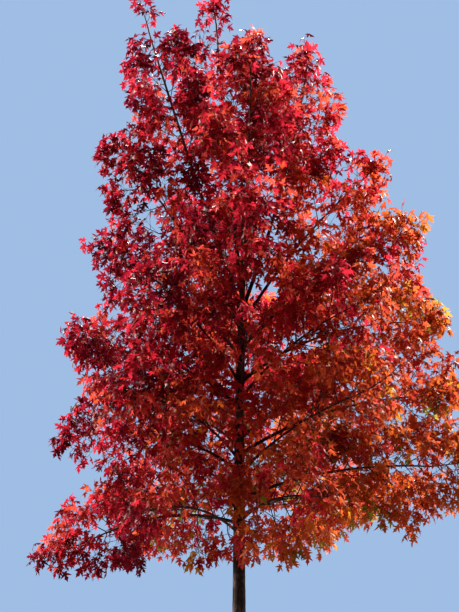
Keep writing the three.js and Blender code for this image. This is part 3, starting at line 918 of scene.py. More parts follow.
@dataclass(frozen=True)
class LeafShape:
    """A red maple's leaf: three large lobes and two small ones, toothed, on a thin red stalk.

    Corners run up one side from the base to the tip, as shares of the blade's length. ripple and ripple_turns
    make its face uneven.
    """

    base: tuple[float, float] = (0.0, 0.03)
    side: tuple[tuple[float, float], ...] = (
        (0.11, -0.03),
        (0.31, 0.00),
        (0.16, 0.16),
        (0.36, 0.29),
        (0.58, 0.54),
        (0.29, 0.44),
        (0.09, 0.40),
        (0.22, 0.67),
        (0.10, 0.76),
    )
    tip: tuple[float, float] = (0.0, 1.0)
    rib: tuple[float, ...] = (0.62, 0.28)
    ripple: float = 0.04
    ripple_turns: tuple[float, float] = (9.0, 5.0)
    stalk_foot: float = 0.0016
    stalk_base: float = 0.0011

    def blade(self, form: LeafForm) -> tuple[np.ndarray, np.ndarray]:
        """Makes the blade of a leaf of length 1, with its base at the origin and its rib along Y.

        Args:
            form: How it is folded and curled.

        Returns:
            Its vertices and its triangles.
        """
        work = bmesh.new()
        ring = [self.base, *self.side, self.tip, *((0.0, y) for y in self.rib)]
        corners = [work.verts.new((x, y, 0.0)) for x, y in ring]
        half = work.faces.new(corners)
        geometry = [half, *half.edges, *half.verts]
        bmesh.ops.mirror(work, geom=geometry, axis="X", merge_dist=1e-5)
        bmesh.ops.recalc_face_normals(work, faces=work.faces)
        bmesh.ops.triangulate(work, faces=work.faces)
        fold, curl = form.value
        across, along = self.ripple_turns
        for vert in work.verts:
            x, y, _ = vert.co
            vert.co.z = -fold * abs(x) - curl * y * y + self.ripple * math.sin(across * x + along * y)
        work.verts.index_update()
        vertices = np.array([vert.co[:] for vert in work.verts])
        triangles = np.array([[vert.index for vert in face.verts] for face in work.faces])
        if sum(face.normal.z for face in work.faces) < 0:
            triangles = triangles[:, ::-1]
        work.free()
        return vertices, triangles

    def stalk_rings(self) -> np.ndarray:
        """Returns the corners of a stalk of radius 1, in the plane across it."""
        angles = np.radians([90 + 360 * side / STALK_SIDES for side in range(STALK_SIDES)])
        return np.stack([np.cos(angles), np.sin(angles)], axis=1)


@dataclass(frozen=True)
class LeafFinish:
    """The plain colour of leaves of one hue: dull on its face, and lit through from behind."""

    hue: Hue
    colour: str
    glow: str
    let_through: float = 0.5
    roughness: float = 0.42
    gloss: float = 0.16


LEAF_FINISHES = (
    LeafFinish(Hue.MAROON, "#4a0919", "#861a32"),
    LeafFinish(Hue.WINE, "#640d20", "#b0283e"),
    LeafFinish(Hue.CRIMSON, "#801022", "#e03c50"),
    LeafFinish(Hue.SCARLET, "#921e20", "#ee6656"),
    LeafFinish(Hue.VERMILION, "#8c301e", "#ea7048"),
    LeafFinish(Hue.ORANGE, "#90401e", "#ee8444"),
    LeafFinish(Hue.AMBER, "#96661e", "#e8a840"),
    LeafFinish(Hue.OLIVE, "#5e5c24", "#b4ae4c"),
)


def linear(colour: str, alpha: float = 1.0) -> tuple[float, float, float, float]:
    """Turns a web colour into Blender's linear one.

    Args:
        colour: A colour such as "#a3122b".
        alpha: Its alpha.

    Returns:
        Red, green, blue and alpha.
    """
    parts = [int(colour[i : i + 2], 16) / 255 for i in (1, 3, 5)]
    red, green, blue = [x / 12.92 if x <= 0.04045 else ((x + 0.055) / 1.055) ** 2.4 for x in parts]
    return red, green, blue, alpha


class Shader:
    """A material's nodes, made one at a time and joined by name."""

    def __init__(self, name: str) -> None:
        """Starts an empty material.

        Args:
            name: Its name.
        """
        self.material = bpy.data.materials.new(name)
        self.material.use_nodes = True
        self.tree = self.material.node_tree
        self.tree.nodes.clear()
        self.output = self.node("ShaderNodeOutputMaterial")

    def node(self, kind: str, values: dict[str, object] | None = None, **settings: object) -> bpy.types.Node:
        """Adds a node.

        Args:
            kind: Blender's name for it.
            values: What its input sockets are set to, by socket name.
            settings: What its own properties are set to.

        Returns:
            The node.
        """
        made = self.tree.nodes.new(kind)
        for name, value in settings.items():
            setattr(made, name, value)
        for name, value in (values or {}).items():
            made.inputs[name].default_value = value
        return made

    def join(self, source: bpy.types.NodeSocket, target: bpy.types.NodeSocket) -> None:
        """Links one socket to another."""
        self.tree.links.new(source, target)

    def noise(
        self, place: bpy.types.NodeSocket, scale: float, detail: float, roughness: float = 0.5
    ) -> bpy.types.NodeSocket:
        """Adds a noise.

        Args:
            place: Where it is read.
            scale: How fine it is.
            detail: How many finer noises it holds.
            roughness: How strong those are.

        Returns:
            The socket of its number, from 0 to 1.
        """
        values = {"Scale": scale, "Detail": detail, "Roughness": roughness}
        made = self.node("ShaderNodeTexNoise", values)
        self.join(place, made.inputs["Vector"])
        return made.outputs["Fac"]

    def finish(self, surface: bpy.types.NodeSocket) -> bpy.types.Material:
        """Joins a surface to the output and returns the material."""
        self.join(surface, self.output.inputs["Surface"])
        return self.material

    def number(self, operation: str, *parts: bpy.types.NodeSocket | float) -> bpy.types.NodeSocket:
        """Works out a number from others.

        Args:
            operation: Blender's name for the sum.
            parts: Sockets or plain numbers, in the sum's order.

        Returns:
            The result's socket.
        """
        made = self.node("ShaderNodeMath", operation=operation)
        for place, part in enumerate(parts):
            if isinstance(part, bpy.types.NodeSocket):
                self.join(part, made.inputs[place])
            else:
                made.inputs[place].default_value = part
        return made.outputs["Value"]

    def ramp(self, source: bpy.types.NodeSocket, stops: Iterable[tuple[float, str]]) -> bpy.types.NodeSocket:
        """Turns a number into a colour.

        Args:
            source: The number, from 0 to 1.
            stops: Places from 0 to 1, each with a web colour.

        Returns:
            The colour's socket.
        """
        made = self.node("ShaderNodeValToRGB")
        places = list(stops)
        while len(made.color_ramp.elements) < len(places):
            made.color_ramp.elements.new(1.0)
        for element, (place, colour) in zip(made.color_ramp.elements, places):
            element.position = place
            element.color = linear(colour)
        self.join(source, made.inputs["Fac"])
        return made.outputs["Color"]


@dataclass(frozen=True)
class BarkFinish:
    """Bark seen close: grain and dark cracks along the limb, and grey blotches.

    blotch_size and crack_size are how much larger blotches and cracks are than the grain.
    """

    name: str
    dark: str
    middle: str
    light: str
    blotch: str
    grain: float
    along: float
    bump: float
    roughness: tuple[float, float]
    blotch_size: float = 9.0
    crack_size: float = 2.4
    crack_width: float = 0.045
    crack_depth: float = 0.6

    def material(self) -> bpy.types.Material:
        """Returns the bark's material."""
        shader = Shader(self.name)
        place = shader.node("ShaderNodeTexCoord").outputs["Object"]
        stretch = shader.node("ShaderNodeMapping", {"Scale": (1.0, 1.0, self.along)})
        shader.join(place, stretch.inputs["Vector"])
        drawn_out = stretch.outputs["Vector"]
        grain = shader.noise(drawn_out, self.grain, 8.0, 0.7)
        blotches = shader.noise(place, self.grain / self.blotch_size, 3.0)
        colour = shader.ramp(grain, ((0.30, self.dark), (0.52, self.middle), (0.74, self.light)))
        share = shader.node("ShaderNodeMapRange", {"From Min": 0.52, "From Max": 0.68, "To Max": 0.55})
        shader.join(blotches, share.inputs["Value"])
        mix = shader.node("ShaderNodeMix", data_type="RGBA")
        shader.join(share.outputs["Result"], mix.inputs["Factor"])
        shader.join(colour, mix.inputs["A"])
        mix.inputs["B"].default_value = linear(self.blotch)
        lips = self.lips(shader, drawn_out)
        cracked = shader.node("ShaderNodeMix", {"A": linear(self.dark)}, data_type="RGBA")
        shader.join(lips, cracked.inputs["Factor"])
        shader.join(mix.outputs["Result"], cracked.inputs["B"])
        surface = shader.node("ShaderNodeBsdfPrincipled", {"Specular IOR Level": 0.25})
        shader.join(cracked.outputs["Result"], surface.inputs["Base Color"])
        low, high = self.roughness
        dullness = shader.node("ShaderNodeMapRange", {"To Min": low, "To Max": high})
        shader.join(grain, dullness.inputs["Value"])
        shader.join(dullness.outputs["Result"], surface.inputs["Roughness"])
        bump = shader.node("ShaderNodeBump", {"Strength": 0.7, "Distance": self.bump})
        height = shader.number("MULTIPLY_ADD", lips, self.crack_depth, grain)
        shader.join(height, bump.inputs["Height"])
        shader.join(bump.outputs["Normal"], surface.inputs["Normal"])
        return shader.finish(surface.outputs["BSDF"])

    def lips(self, shader: Shader, place: bpy.types.NodeSocket) -> bpy.types.NodeSocket:
        """Finds how far points are from a crack.

        Args:
            shader: The bark's nodes.
            place: The place on the limb, drawn out along it.

        Returns:
            A number's socket, from 0 in a crack to 1 on the bark between cracks.
        """
        field_of_cracks = shader.noise(place, self.grain / self.crack_size, 5.0, 0.6)
        distance = shader.number("ABSOLUTE", shader.number("SUBTRACT", field_of_cracks, 0.5))
        share = shader.node("ShaderNodeMapRange", {"From Max": self.crack_width})
        shader.join(distance, share.inputs["Value"])
        return share.outputs["Result"]


TRUNK_BARK = BarkFinish(
    "trunk_bark", dark="#1a1210", middle="#3a2c28", light="#64564f", blotch="#746962",
    grain=105.0, along=0.16, bump=0.004, roughness=(0.72, 0.95),
)
TWIG_BARK = BarkFinish(
    "twig_bark", dark="#2a1a18", middle="#4d2f2a", light="#75504a", blotch="#6b5a55",
    grain=160.0, along=0.5, bump=0.0005, roughness=(0.55, 0.8),
)


class LeafMaterials:
    """One plain material for each hue, and one for the stalks."""

    def __init__(self) -> None:
        """Makes the materials, in the order of the hues, with the stalks' last."""
        self.materials = [self.leaf(finish) for finish in LEAF_FINISHES]
        self.materials.append(self.stalk())

    @property
    def stalk_index(self) -> int:
        """Returns the place of the stalks' material."""
        return len(self.materials) - 1

    def leaf(self, finish: LeafFinish) -> bpy.types.Material:
        """Makes the material of leaves of one hue.

        Args:
            finish: The hue's finish.

        Returns:
            The material: a satin face mixed with one that lets light through.
        """
        shader = Shader(f"leaf_{finish.hue.name.lower()}")
        values = {
            "Base Color": linear(finish.colour),
            "Roughness": finish.roughness,
            "Specular IOR Level": finish.gloss,
        }
        face = shader.node("ShaderNodeBsdfPrincipled", values)
        glow = shader.node("ShaderNodeBsdfTranslucent", {"Color": linear(finish.glow)})
        mix = shader.node("ShaderNodeMixShader", {"Fac": finish.let_through})
        shader.join(face.outputs["BSDF"], mix.inputs[1])
        shader.join(glow.outputs["BSDF"], mix.inputs[2])
        return shader.finish(mix.outputs["Shader"])

    def stalk(self) -> bpy.types.Material:
        """Returns the material of the stalks, which run from dark to bright red."""
        shader = Shader("leaf_stalk")
        place = shader.node("ShaderNodeTexCoord").outputs["Object"]
        patches = shader.noise(place, 14.0, 2.0)
        colour = shader.ramp(patches, ((0.34, "#6c1622"), (0.66, "#a62c34")))
        face = shader.node("ShaderNodeBsdfPrincipled", {"Roughness": 0.5, "Specular IOR Level": 0.3})
        shader.join(colour, face.inputs["Base Color"])
        return shader.finish(face.outputs["BSDF"])


def place_object(name: str, data: bpy.types.ID) -> bpy.types.Object:
    """Makes an object of a mesh, a light or a camera and puts it in the scene.

    Args:
        name: Its name.
        data: What it is made of.

    Returns:
        The object, at the origin.
    """
    made = bpy.data.objects.new(name, data)
    bpy.context.scene.collection.objects.link(made)
    return made


def mesh_piece(
    name: str,
    vertices: np.ndarray,
    triangles: np.ndarray,
    looks: np.ndarray,
    materials: list[bpy.types.Material],
) -> bpy.types.Object:
    """Makes one smooth joined mesh object from rows of numbers.

    Args:
        name: The piece's name.
        vertices: One row for each vertex.
        triangles: One row for each triangle, of the numbers of its vertices.
        looks: The place of each triangle's material.
        materials: The materials.

    Returns:
        The object, at the origin.
    """
    mesh = bpy.data.meshes.new(name)
    mesh.vertices.add(len(vertices))
    mesh.vertices.foreach_set("co", vertices.astype(np.float32).ravel())
    mesh.loops.add(triangles.size)
    mesh.loops.foreach_set("vertex_index", triangles.astype(np.int32).ravel())
    mesh.polygons.add(len(triangles))
    mesh.polygons.foreach_set("loop_start", np.arange(0, triangles.size, 3, dtype=np.int32))
    mesh.polygons.foreach_set("material_index", looks.astype(np.int32))
    mesh.polygons.foreach_set("use_smooth", np.ones(len(triangles), bool))
    mesh.update(calc_edges=True)
    for material in materials:
        mesh.materials.append(material)
    return place_object(name, mesh)


class LeafPieces:
    """All the leaves of some masses as joined meshes."""

    def __init__(self, shape: LeafShape, materials: LeafMaterials) -> None:
        """Makes the blade in each form.

        Args:
            shape: The leaf's shape.
            materials: The leaves' materials.
        """
        self.shape = shape
        self.materials = materials
        self.blades = [shape.blade(form) for form in LeafForm]
        self.most_triangles = max(len(corners) for _, corners in self.blades) + 2 * STALK_SIDES

    def arrays(self, leaves: Leaves) -> tuple[np.ndarray, np.ndarray, np.ndarray]:
        """Lays out blades and stalks.

        Args:
            leaves: The leaves.

        Returns:
            The vertices, the triangles and each triangle's material.
        """
        vertices, triangles, looks, count = [], [], [], 0
        feet, bases = np.array(leaves.feet), np.array(leaves.bases)
        alongs, faces = np.array(leaves.alongs), np.array(leaves.faces)
        sizes, hues, forms = np.array(leaves.sizes), np.array(leaves.hues), np.array(leaves.forms)
        sides = np.cross(alongs, faces)
        turned = np.stack([sides, alongs, faces], axis=1) * sizes[:, None, None]
        for form, (shape, corners) in enumerate(self.blades):
            picked = np.flatnonzero(forms == form)
            placed = np.einsum("vi,nij->nvj", shape, turned[picked]) + bases[picked, None, :]
            starts = count + np.arange(len(picked)) * len(shape)
            vertices.append(placed.reshape(-1, 3))
            triangles.append((corners[None] + starts[:, None, None]).reshape(-1, 3))
            looks.append(np.repeat(hues[picked], len(corners)))
            count += len(picked) * len(shape)
        stalks, stalk_faces = self.stalks(feet, bases, alongs)
        vertices.append(stalks)
        triangles.append(stalk_faces + count)
        looks.append(np.full(len(stalk_faces), self.materials.stalk_index))
        return np.concatenate(vertices), np.concatenate(triangles), np.concatenate(looks)

    def stalks(
        self, feet: np.ndarray, bases: np.ndarray, alongs: np.ndarray
    ) -> tuple[np.ndarray, np.ndarray]:
        """Lays out the stalks.

        Args:
            feet: Where they start.
            bases: Where they meet their blades.
            alongs: The blades' directions.

        Returns:
            Their vertices and triangles.
        """
        direction = bases - feet
        direction /= np.linalg.norm(direction, axis=1)[:, None]
        straight = 1e-4
        across = np.cross(direction, alongs)
        is_straight = np.linalg.norm(across, axis=1) < straight
        across[is_straight] = np.cross(direction[is_straight], UP)
        across /= np.linalg.norm(across, axis=1)[:, None]
        over = np.cross(across, direction)
        ring = self.shape.stalk_rings()
        rim = ring[None, :, :1] * across[:, None, :] + ring[None, :, 1:] * over[:, None, :]
        low = feet[:, None, :] + rim * self.shape.stalk_foot
        high = bases[:, None, :] + rim * self.shape.stalk_base
        vertices = np.concatenate([low, high], axis=1).reshape(-1, 3)
        count = STALK_SIDES
        sides = [(i, (i + 1) % count) for i in range(count)]
        faces = np.array([face for a, b in sides for face in ((a, b, b + count), (a, b + count, a + count))])
        starts = np.arange(len(feet)) * 2 * count
        return vertices, (faces[None] + starts[:, None, None]).reshape(-1, 3)

    def piece(self, name: str, leaves: Leaves) -> bpy.types.Object:
        """Makes one piece of some leaves.

        Args:
            name: The piece's name.
            leaves: The leaves in it.

        Returns:
            The piece.
        """
        vertices, triangles, looks = self.arrays(leaves)
        return mesh_piece(name, vertices, triangles, looks, self.materials.materials)


@dataclass(frozen=True)
class TwigPieces:
    """Stems, twigs and twiglets as joined tapering tubes, each with a point at its tip."""

    material: bpy.types.Material
    point_length: float = 2.0
    upright: float = 0.05

    def tube(self, shoot: Shoot) -> tuple[np.ndarray, np.ndarray]:
        """Lays out one shoot.

        Args:
            shoot: The shoot.

        Returns:
            Its vertices, with one at the tip, and its triangles.
        """
        points, sides = shoot.points, shoot.sides
        along = np.gradient(points, axis=0)
        along /= np.linalg.norm(along, axis=1)[:, None]
        across = np.cross(along, UP)
        across[np.linalg.norm(across, axis=1) < self.upright] = (0.0, 1.0, 0.0)
        across -= along * (across * along).sum(axis=1)[:, None]
        across /= np.linalg.norm(across, axis=1)[:, None]
        over = np.cross(across, along)
        angles = (2 * math.pi * np.arange(sides) / sides)[None, :, None]
        rim = np.cos(angles) * over[:, None, :] + np.sin(angles) * across[:, None, :]
        rings = points[:, None, :] + rim * shoot.radii[:, None, None]
        tip = points[-1] + along[-1] * shoot.radii[-1] * self.point_length
        vertices = np.concatenate([rings.reshape(-1, 3), tip[None]])
        faces = []
        for ring in range(len(points) - 1):
            for side in range(sides):
                a = ring * sides + side
                b = ring * sides + (side + 1) % sides
                faces += [(a, b, b + sides), (a, b + sides, a + sides)]
        last = (len(points) - 1) * sides
        faces += [(last + i, last + (i + 1) % sides, len(vertices) - 1) for i in range(sides)]
        return vertices, np.array(faces)

    def piece(self, name: str, shoots: list[Shoot]) -> bpy.types.Object:
        """Makes one piece of some shoots.

        Args:
            name: The piece's name.
            shoots: The shoots in it.

        Returns:
            The piece.
        """
        vertices, triangles, count = [], [], 0
        for shoot in shoots:
            places, faces = self.tube(shoot)
            vertices.append(places)
            triangles.append(faces + count)
            count += len(places)
        joined = np.concatenate(triangles)
        looks = np.zeros(len(joined), int)
        return mesh_piece(name, np.concatenate(vertices), joined, looks, [self.material])


@dataclass(frozen=True)
class BarkRelief:
    """How deep the bark's ridges and fissures are on a limb.

    stretch draws ridges out along it. fine_scale is how much finer the small relief on the ridges is.
    """

    ridge_depth: float
    ridge_scale: float
    stretch: float
    lump_depth: float
    lump_scale: float
    ridge_share: float = 0.8
    fine_share: float = 0.4
    fine_scale: float = 2.7

    def height_at(self, point: np.ndarray, age: float) -> float:
        """Works out how far the bark stands out at a point.

        Args:
            point: The point on the smooth limb.
            age: From 0 on young smooth bark to 1 on old rough bark.

        Returns:
            The height above the smooth limb.
        """
        x, y, z = (part * self.ridge_scale for part in point)
        place = Vector((x, y, z * self.stretch))
        ridges = 1 - abs(noise.noise(place)) * 2
        fine = noise.noise(place * self.fine_scale)
        relief = ridges * self.ridge_share + fine * self.fine_share
        lumps = noise.noise(Vector(point) * self.lump_scale)
        return self.ridge_depth * age * relief + self.lump_depth * lumps


class BarkTube:
    """A limb's bark, drawn out ring by ring from a circle."""

    def __init__(self, sides: int) -> None:
        """Starts with the first circle.

        Args:
            sides: How many sides the limb has.
        """
        self.work = bmesh.new()
        self.sides = sides
        self.number = self.work.verts.layers.int.new("side")

    def draw(self, rings: int, place: Callable[[int, float], np.ndarray]) -> None:
        """Draws one limb.

        Args:
            rings: How many rings it has.
            place: Gives the point of a ring at an angle round the limb, in radians.
        """
        made = bmesh.ops.create_circle(self.work, cap_ends=False, segments=self.sides, radius=1.0)
        circle = made["verts"]
        for side, vert in enumerate(circle):
            vert[self.number] = side
        edges = list(dict.fromkeys(edge for vert in circle for edge in vert.link_edges))
        self.set_ring(circle, 0, place)
        bmesh.ops.contextual_create(self.work, geom=edges)
        for ring in range(1, rings):
            grown = bmesh.ops.extrude_edge_only(self.work, edges=edges)["geom"]
            verts = [part for part in grown if isinstance(part, bmesh.types.BMVert)]
            there = set(verts)
            edges = [part for part in grown if isinstance(part, bmesh.types.BMEdge)]
            edges = [edge for edge in edges if there.issuperset(edge.verts)]
            self.set_ring(verts, ring, place)
        bmesh.ops.contextual_create(self.work, geom=edges)

    def set_ring(
        self, verts: Iterable[bmesh.types.BMVert], ring: int, place: Callable[[int, float], np.ndarray]
    ) -> None:
        """Puts the corners of one ring where they belong.

        Args:
            verts: The ring's corners.
            ring: The ring's number.
            place: Gives the point of a ring at an angle.
        """
        for vert in verts:
            vert.co = place(ring, 2 * math.pi * vert[self.number] / self.sides)

    def piece(self, name: str, material: bpy.types.Material) -> bpy.types.Object:
        """Finishes the bark as an object, smooth apart from the flat ends of its limbs.

        Args:
            name: The piece's name.
            material: The bark.

        Returns:
            The piece.
        """
        bmesh.ops.recalc_face_normals(self.work, faces=self.work.faces)
        for face in self.work.faces:
            face.smooth = len(face.verts) == 4
        mesh = bpy.data.meshes.new(name)
        self.work.to_mesh(mesh)
        self.work.free()
        mesh.materials.append(material)
        return place_object(name, mesh)


@dataclass
class Trunk:
    """The trunk's bark, from the flat cut over the root flare to the fork, which its last rings round off.

    ring_power sets rings closer near the ground. young_age is how rough the bark still is at the fork, where
    1 is its roughness at the foot.
    """

    size: TrunkSize
    sides: int = 84
    rings: int = 260
    ring_power: float = 1.6
    young_age: float = 0.35
    crown_rings: int = 4
    crown_height: float = 0.6
    crown_narrowing: float = 0.97
    relief: BarkRelief = BarkRelief(0.0027, 95.0, 0.14, 0.0012, 9.0)

    def point(self, ring: int, angle: float) -> np.ndarray:
        """Works out one point of the bark.

        Args:
            ring: The ring's number, from the ground up.
            angle: Direction round the trunk, in radians.

        Returns:
            The point.
        """
        stem_rings = self.rings - self.crown_rings
        share = min(ring / (stem_rings - 1), 1.0)
        height = self.size.fork_height * share**self.ring_power
        over = max(0, ring - stem_rings + 1) / self.crown_rings
        middle = self.size.middle(height)
        out = np.array([math.cos(angle), math.sin(angle), 0.0])
        radius = self.size.radius(height, angle)
        age = self.young_age + (1 - self.young_age) * (1 - share)
        radius += self.relief.height_at(middle + out * radius, age) * (1 - over)
        round_off = math.sqrt(max(0.0, 1 - (self.crown_narrowing * over) ** 2))
        rise = UP * self.size.fork_radius * self.crown_height * math.sin(over * math.pi / 2)
        return middle + out * radius * round_off + rise

    def build(self, material: bpy.types.Material) -> bpy.types.Object:
        """Builds the trunk's bark.

        Args:
            material: The bark.

        Returns:
            The piece, which stands for the trunk's solid.
        """
        tube = BarkTube(self.sides)
        tube.draw(self.rings, self.point)
        piece = tube.piece("trunk_bark", material)
        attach(piece, "root")
        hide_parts("trunk")
        return piece


@dataclass
class Boughs:
    """The bark of all the main boughs, each from inside the trunk to its foliage."""

    boughs: list[Bough]
    sides: int = 12
    ring_length: float = 0.014
    fewest_rings: int = 4
    relief: BarkRelief = BarkRelief(0.0007, 150.0, 0.4, 0.0009, 22.0)

    def build(self, material: bpy.types.Material) -> bpy.types.Object:
        """Builds the boughs' bark.

        Args:
            material: The bark.

        Returns:
            The piece, which stands for every bough's solid.
        """
        tube = BarkTube(self.sides)
        for bough in self.boughs:
            rings = max(self.fewest_rings, round(bough.length * bough.entry / self.ring_length))
            tube.draw(rings, self.placer(bough, rings))
        piece = tube.piece("boughs_bark", material)
        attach(piece, "root")
        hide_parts(*(f"bough_{bough.size.name}" for bough in self.boughs))
        return piece

    def placer(self, bough: Bough, rings: int) -> Callable[[int, float], np.ndarray]:
        """Gives the way in which one bough's points are worked out.

        Args:
            bough: The bough.
            rings: How many rings it has.

        Returns:
            A function of a ring's number and an angle.
        """

        def place(ring: int, angle: float) -> np.ndarray:
            """Returns the point of a ring at an angle."""
            share = bough.entry * ring / (rings - 1)
            across, over = across_and_over(bough.tangent(share))
            out = over * math.cos(angle) + across * math.sin(angle)
            middle = bough.point(share)
            radius = bough.radius(share)
            return middle + out * (radius + self.relief.height_at(middle + out * radius, 1.0))

        return place


@dataclass
class Foliage:
    """All the masses, grown and joined into pieces by tint."""

    trunk: TrunkSize
    boughs: list[Bough]
    rule: FoliageRule = FoliageRule()
    shape: LeafShape = LeafShape()

    def grow(self) -> list[Mass]:
        """Returns every mass, grown in its own space."""
        limbs = Limbs.along(self.trunk, self.boughs)
        masses = []
        for number, bough in enumerate(self.boughs):
            space = Space(bough, self.boughs)
            mass = Mass(bough, space, limbs, self.rule, SeededRandom(self.rule.seed + number))
            mass.grow()
            masses.append(mass)
        return masses

    def build(self, masses: list[Mass], twig_bark: bpy.types.Material) -> list[bpy.types.Object]:
        """Builds the pieces of every tint.

        Args:
            masses: The grown masses.
            twig_bark: The bark of twigs.

        Returns:
            The pieces.
        """
        leaf_pieces = LeafPieces(self.shape, LeafMaterials())
        twig_pieces = TwigPieces(twig_bark)
        pieces = []
        for tint in Tint:
            here = [mass for mass in masses if mass.bough.size.tint is tint]
            for number, group in enumerate(self.groups(here, leaf_pieces), 1):
                word = f"{tint.value.removeprefix('foliage_')}_{number}"
                shoots = [shoot for mass in group for shoot in mass.shoots]
                leaves = Leaves()
                for mass in group:
                    leaves.add(mass.leaves, np.ones(len(mass.leaves.sizes), bool))
                twigs = twig_pieces.piece(f"twigs_{word}", shoots)
                blades = leaf_pieces.piece(f"leaves_{word}", leaves)
                for piece in (twigs, blades):
                    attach(piece, "root")
                    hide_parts(*(f"foliage_{mass.bough.size.name}" for mass in group))
                    pieces.append(piece)
        return pieces

    def groups(self, masses: list[Mass], leaf_pieces: LeafPieces) -> list[list[Mass]]:
        """Shares masses out so that no piece of leaves is too large.

        Args:
            masses: The masses of one tint.
            leaf_pieces: Tells how many triangles a leaf has.

        Returns:
            The masses in groups.
        """
        groups: list[list[Mass]] = []
        held = LARGEST_PIECE
        for mass in masses:
            wanted = len(mass.leaves.sizes) * leaf_pieces.most_triangles
            if held + wanted > LARGEST_PIECE:
                groups.append([])
                held = 0
            groups[-1].append(mass)
            held += wanted
        return groups


@dataclass(frozen=True)
class SoftLight:
    """A large soft light that is so far off that it lights the whole studio alike.

    bearing is where it stands, in degrees from +X towards +Y, and elevation how high. width is the angle
    that it fills as the tree sees it.
    """

    name: str
    bearing: float
    elevation: float
    width: float
    strength: float
    colour: str
    distance: float = 12.0

    def build(self) -> bpy.types.Object:
        """Returns the light, turned to the tree."""
        data = bpy.data.lights.new(self.name, "SUN")
        data.angle = math.radians(self.width)
        data.energy = self.strength
        data.color = linear(self.colour)[:3]
        light = place_object(self.name, data)
        away = level(self.bearing) * math.cos(math.radians(self.elevation))
        away = away + UP * math.sin(math.radians(self.elevation))
        light.location = away * self.distance
        light.rotation_euler = Vector(away).to_track_quat("Z", "Y").to_euler()
        return light


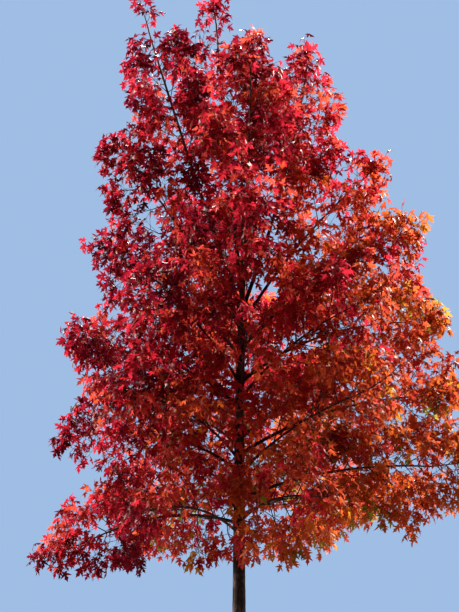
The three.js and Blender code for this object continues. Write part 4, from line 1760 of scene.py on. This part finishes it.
@dataclass(frozen=True)
class Studio:
    """A plain pale floor, soft lights and a camera that looks up at the crown.

    The camera's tilt is in degrees. It sees a frame of frame_height pixels at a focal length of focal_pixels.
    """

    floor_half: float = 45.0
    floor_colours: tuple[str, str] = ("#5c5c5b", "#5f5f5e")
    ambient: str = "#c4d2ea"
    ambient_strength: float = 0.14
    backdrop: str = "#aecbf0"
    backdrop_strength: float = 0.76
    camera_place: tuple[float, float, float] = (-0.057, -6.2, 1.5)
    camera_tilt: float = 18.66
    focal_pixels: float = 841.0
    frame_height: int = 612
    sensor: float = 36.0
    lights: tuple[SoftLight, ...] = (
        SoftLight("key", 30.0, 40.0, 5.0, 7.7, "#fff5ea"),
        SoftLight("rim", 164.0, 33.0, 5.0, 6.9, "#fff5ea"),
        SoftLight("back", 92.0, 50.0, 5.0, 4.2, "#fff5ea"),
        SoftLight("fill", 247.0, 8.0, 30.0, 0.2, "#eef3ff"),
    )

    def build(self) -> None:
        """Builds the studio."""
        self.floor()
        self.world()
        for light in self.lights:
            light.build()
        self.camera()
        view = bpy.context.scene.view_settings
        view.view_transform = "Standard"
        view.look = "Medium High Contrast"

    def floor(self) -> bpy.types.Object:
        """Returns the pale floor, which isn't part of the tree."""
        work = bmesh.new()
        bmesh.ops.create_grid(work, x_segments=1, y_segments=1, size=self.floor_half)
        mesh = bpy.data.meshes.new("floor")
        work.to_mesh(mesh)
        work.free()
        shader = Shader("pale_floor")
        place = shader.node("ShaderNodeTexCoord").outputs["Object"]
        grain = shader.noise(place, 3.0, 4.0)
        colour = shader.ramp(grain, zip((0.3, 0.7), self.floor_colours))
        surface = shader.node("ShaderNodeBsdfPrincipled", {"Roughness": 0.9})
        shader.join(colour, surface.inputs["Base Color"])
        mesh.materials.append(shader.finish(surface.outputs["BSDF"]))
        floor = place_object("floor", mesh)
        return floor

    def world(self) -> None:
        """Lights the studio evenly from all round, in front of a backdrop that is lit on its own."""
        world = bpy.data.worlds.new("pale_studio")
        world.use_nodes = True
        tree = world.node_tree
        ambient = tree.nodes["Background"]
        ambient.inputs["Color"].default_value = linear(self.ambient)
        ambient.inputs["Strength"].default_value = self.ambient_strength
        backdrop = tree.nodes.new("ShaderNodeBackground")
        backdrop.inputs["Color"].default_value = linear(self.backdrop)
        backdrop.inputs["Strength"].default_value = self.backdrop_strength
        seen = tree.nodes.new("ShaderNodeLightPath")
        mix = tree.nodes.new("ShaderNodeMixShader")
        tree.links.new(seen.outputs["Is Camera Ray"], mix.inputs["Fac"])
        tree.links.new(ambient.outputs["Background"], mix.inputs[1])
        tree.links.new(backdrop.outputs["Background"], mix.inputs[2])
        tree.links.new(mix.outputs["Shader"], tree.nodes["World Output"].inputs["Surface"])
        bpy.context.scene.world = world

    def camera(self) -> bpy.types.Object:
        """Returns the camera, which sees the tree as the photo does."""
        data = bpy.data.cameras.new("camera")
        data.sensor_width = self.sensor
        data.lens = self.focal_pixels / self.frame_height * self.sensor
        camera = place_object("camera", data)
        camera.location = self.camera_place
        camera.rotation_euler = (math.radians(90 + self.camera_tilt), 0.0, 0.0)
        bpy.context.scene.camera = camera
        return camera


def plan_boughs(trunk: TrunkSize, rule: LimbRule) -> list[Bough]:
    """Plans every bough and finds where each one enters its foliage's space and stays in it.

    Args:
        trunk: The trunk.
        rule: How boughs taper and bear foliage.

    Returns:
        The boughs, from the lowest tier to the leaders.
    """
    boughs = [Bough(size, trunk, rule) for size in BOUGH_SIZES]
    for bough in boughs:
        space = Space(bough, boughs)
        last = round(rule.last_entry * rule.entry_steps)
        shares = np.arange(last, 0, -1) / rule.entry_steps
        inside = space.holds(np.array([bough.point(share) for share in shares]))
        outside = np.flatnonzero(~inside)
        stayed = len(shares) if not len(outside) else int(outside[0])
        entry = shares[stayed - 1] if stayed else rule.last_entry
        bough.entry = max(float(entry), bough.size.bare)
    return boughs


def report(piece: bpy.types.Object) -> None:
    """Logs a piece's name and how many triangles it has."""
    triangles = sum(len(face.vertices) - 2 for face in piece.data.polygons)
    log.info("%s: %d triangles", piece.name, triangles)


def main() -> None:
    """Builds the studio, then the tree from the ground up."""
    logging.basicConfig(level=logging.INFO, format="%(name)s %(message)s")
    Studio().build()
    trunk = TrunkSize()
    boughs = plan_boughs(trunk, LimbRule())
    bark = TRUNK_BARK.material()
    report(Trunk(trunk).build(bark))
    report(Boughs(boughs).build(bark))
    foliage = Foliage(trunk, boughs)
    masses = foliage.grow()
    for piece in foliage.build(masses, TWIG_BARK.material()):
        report(piece)
    leaves = sum(len(mass.leaves.sizes) for mass in masses)
    shoots = sum(len(mass.shoots) for mass in masses)
    log.info("%d leaves, %d shoots", leaves, shoots)


if __name__ == "__main__":
    main()
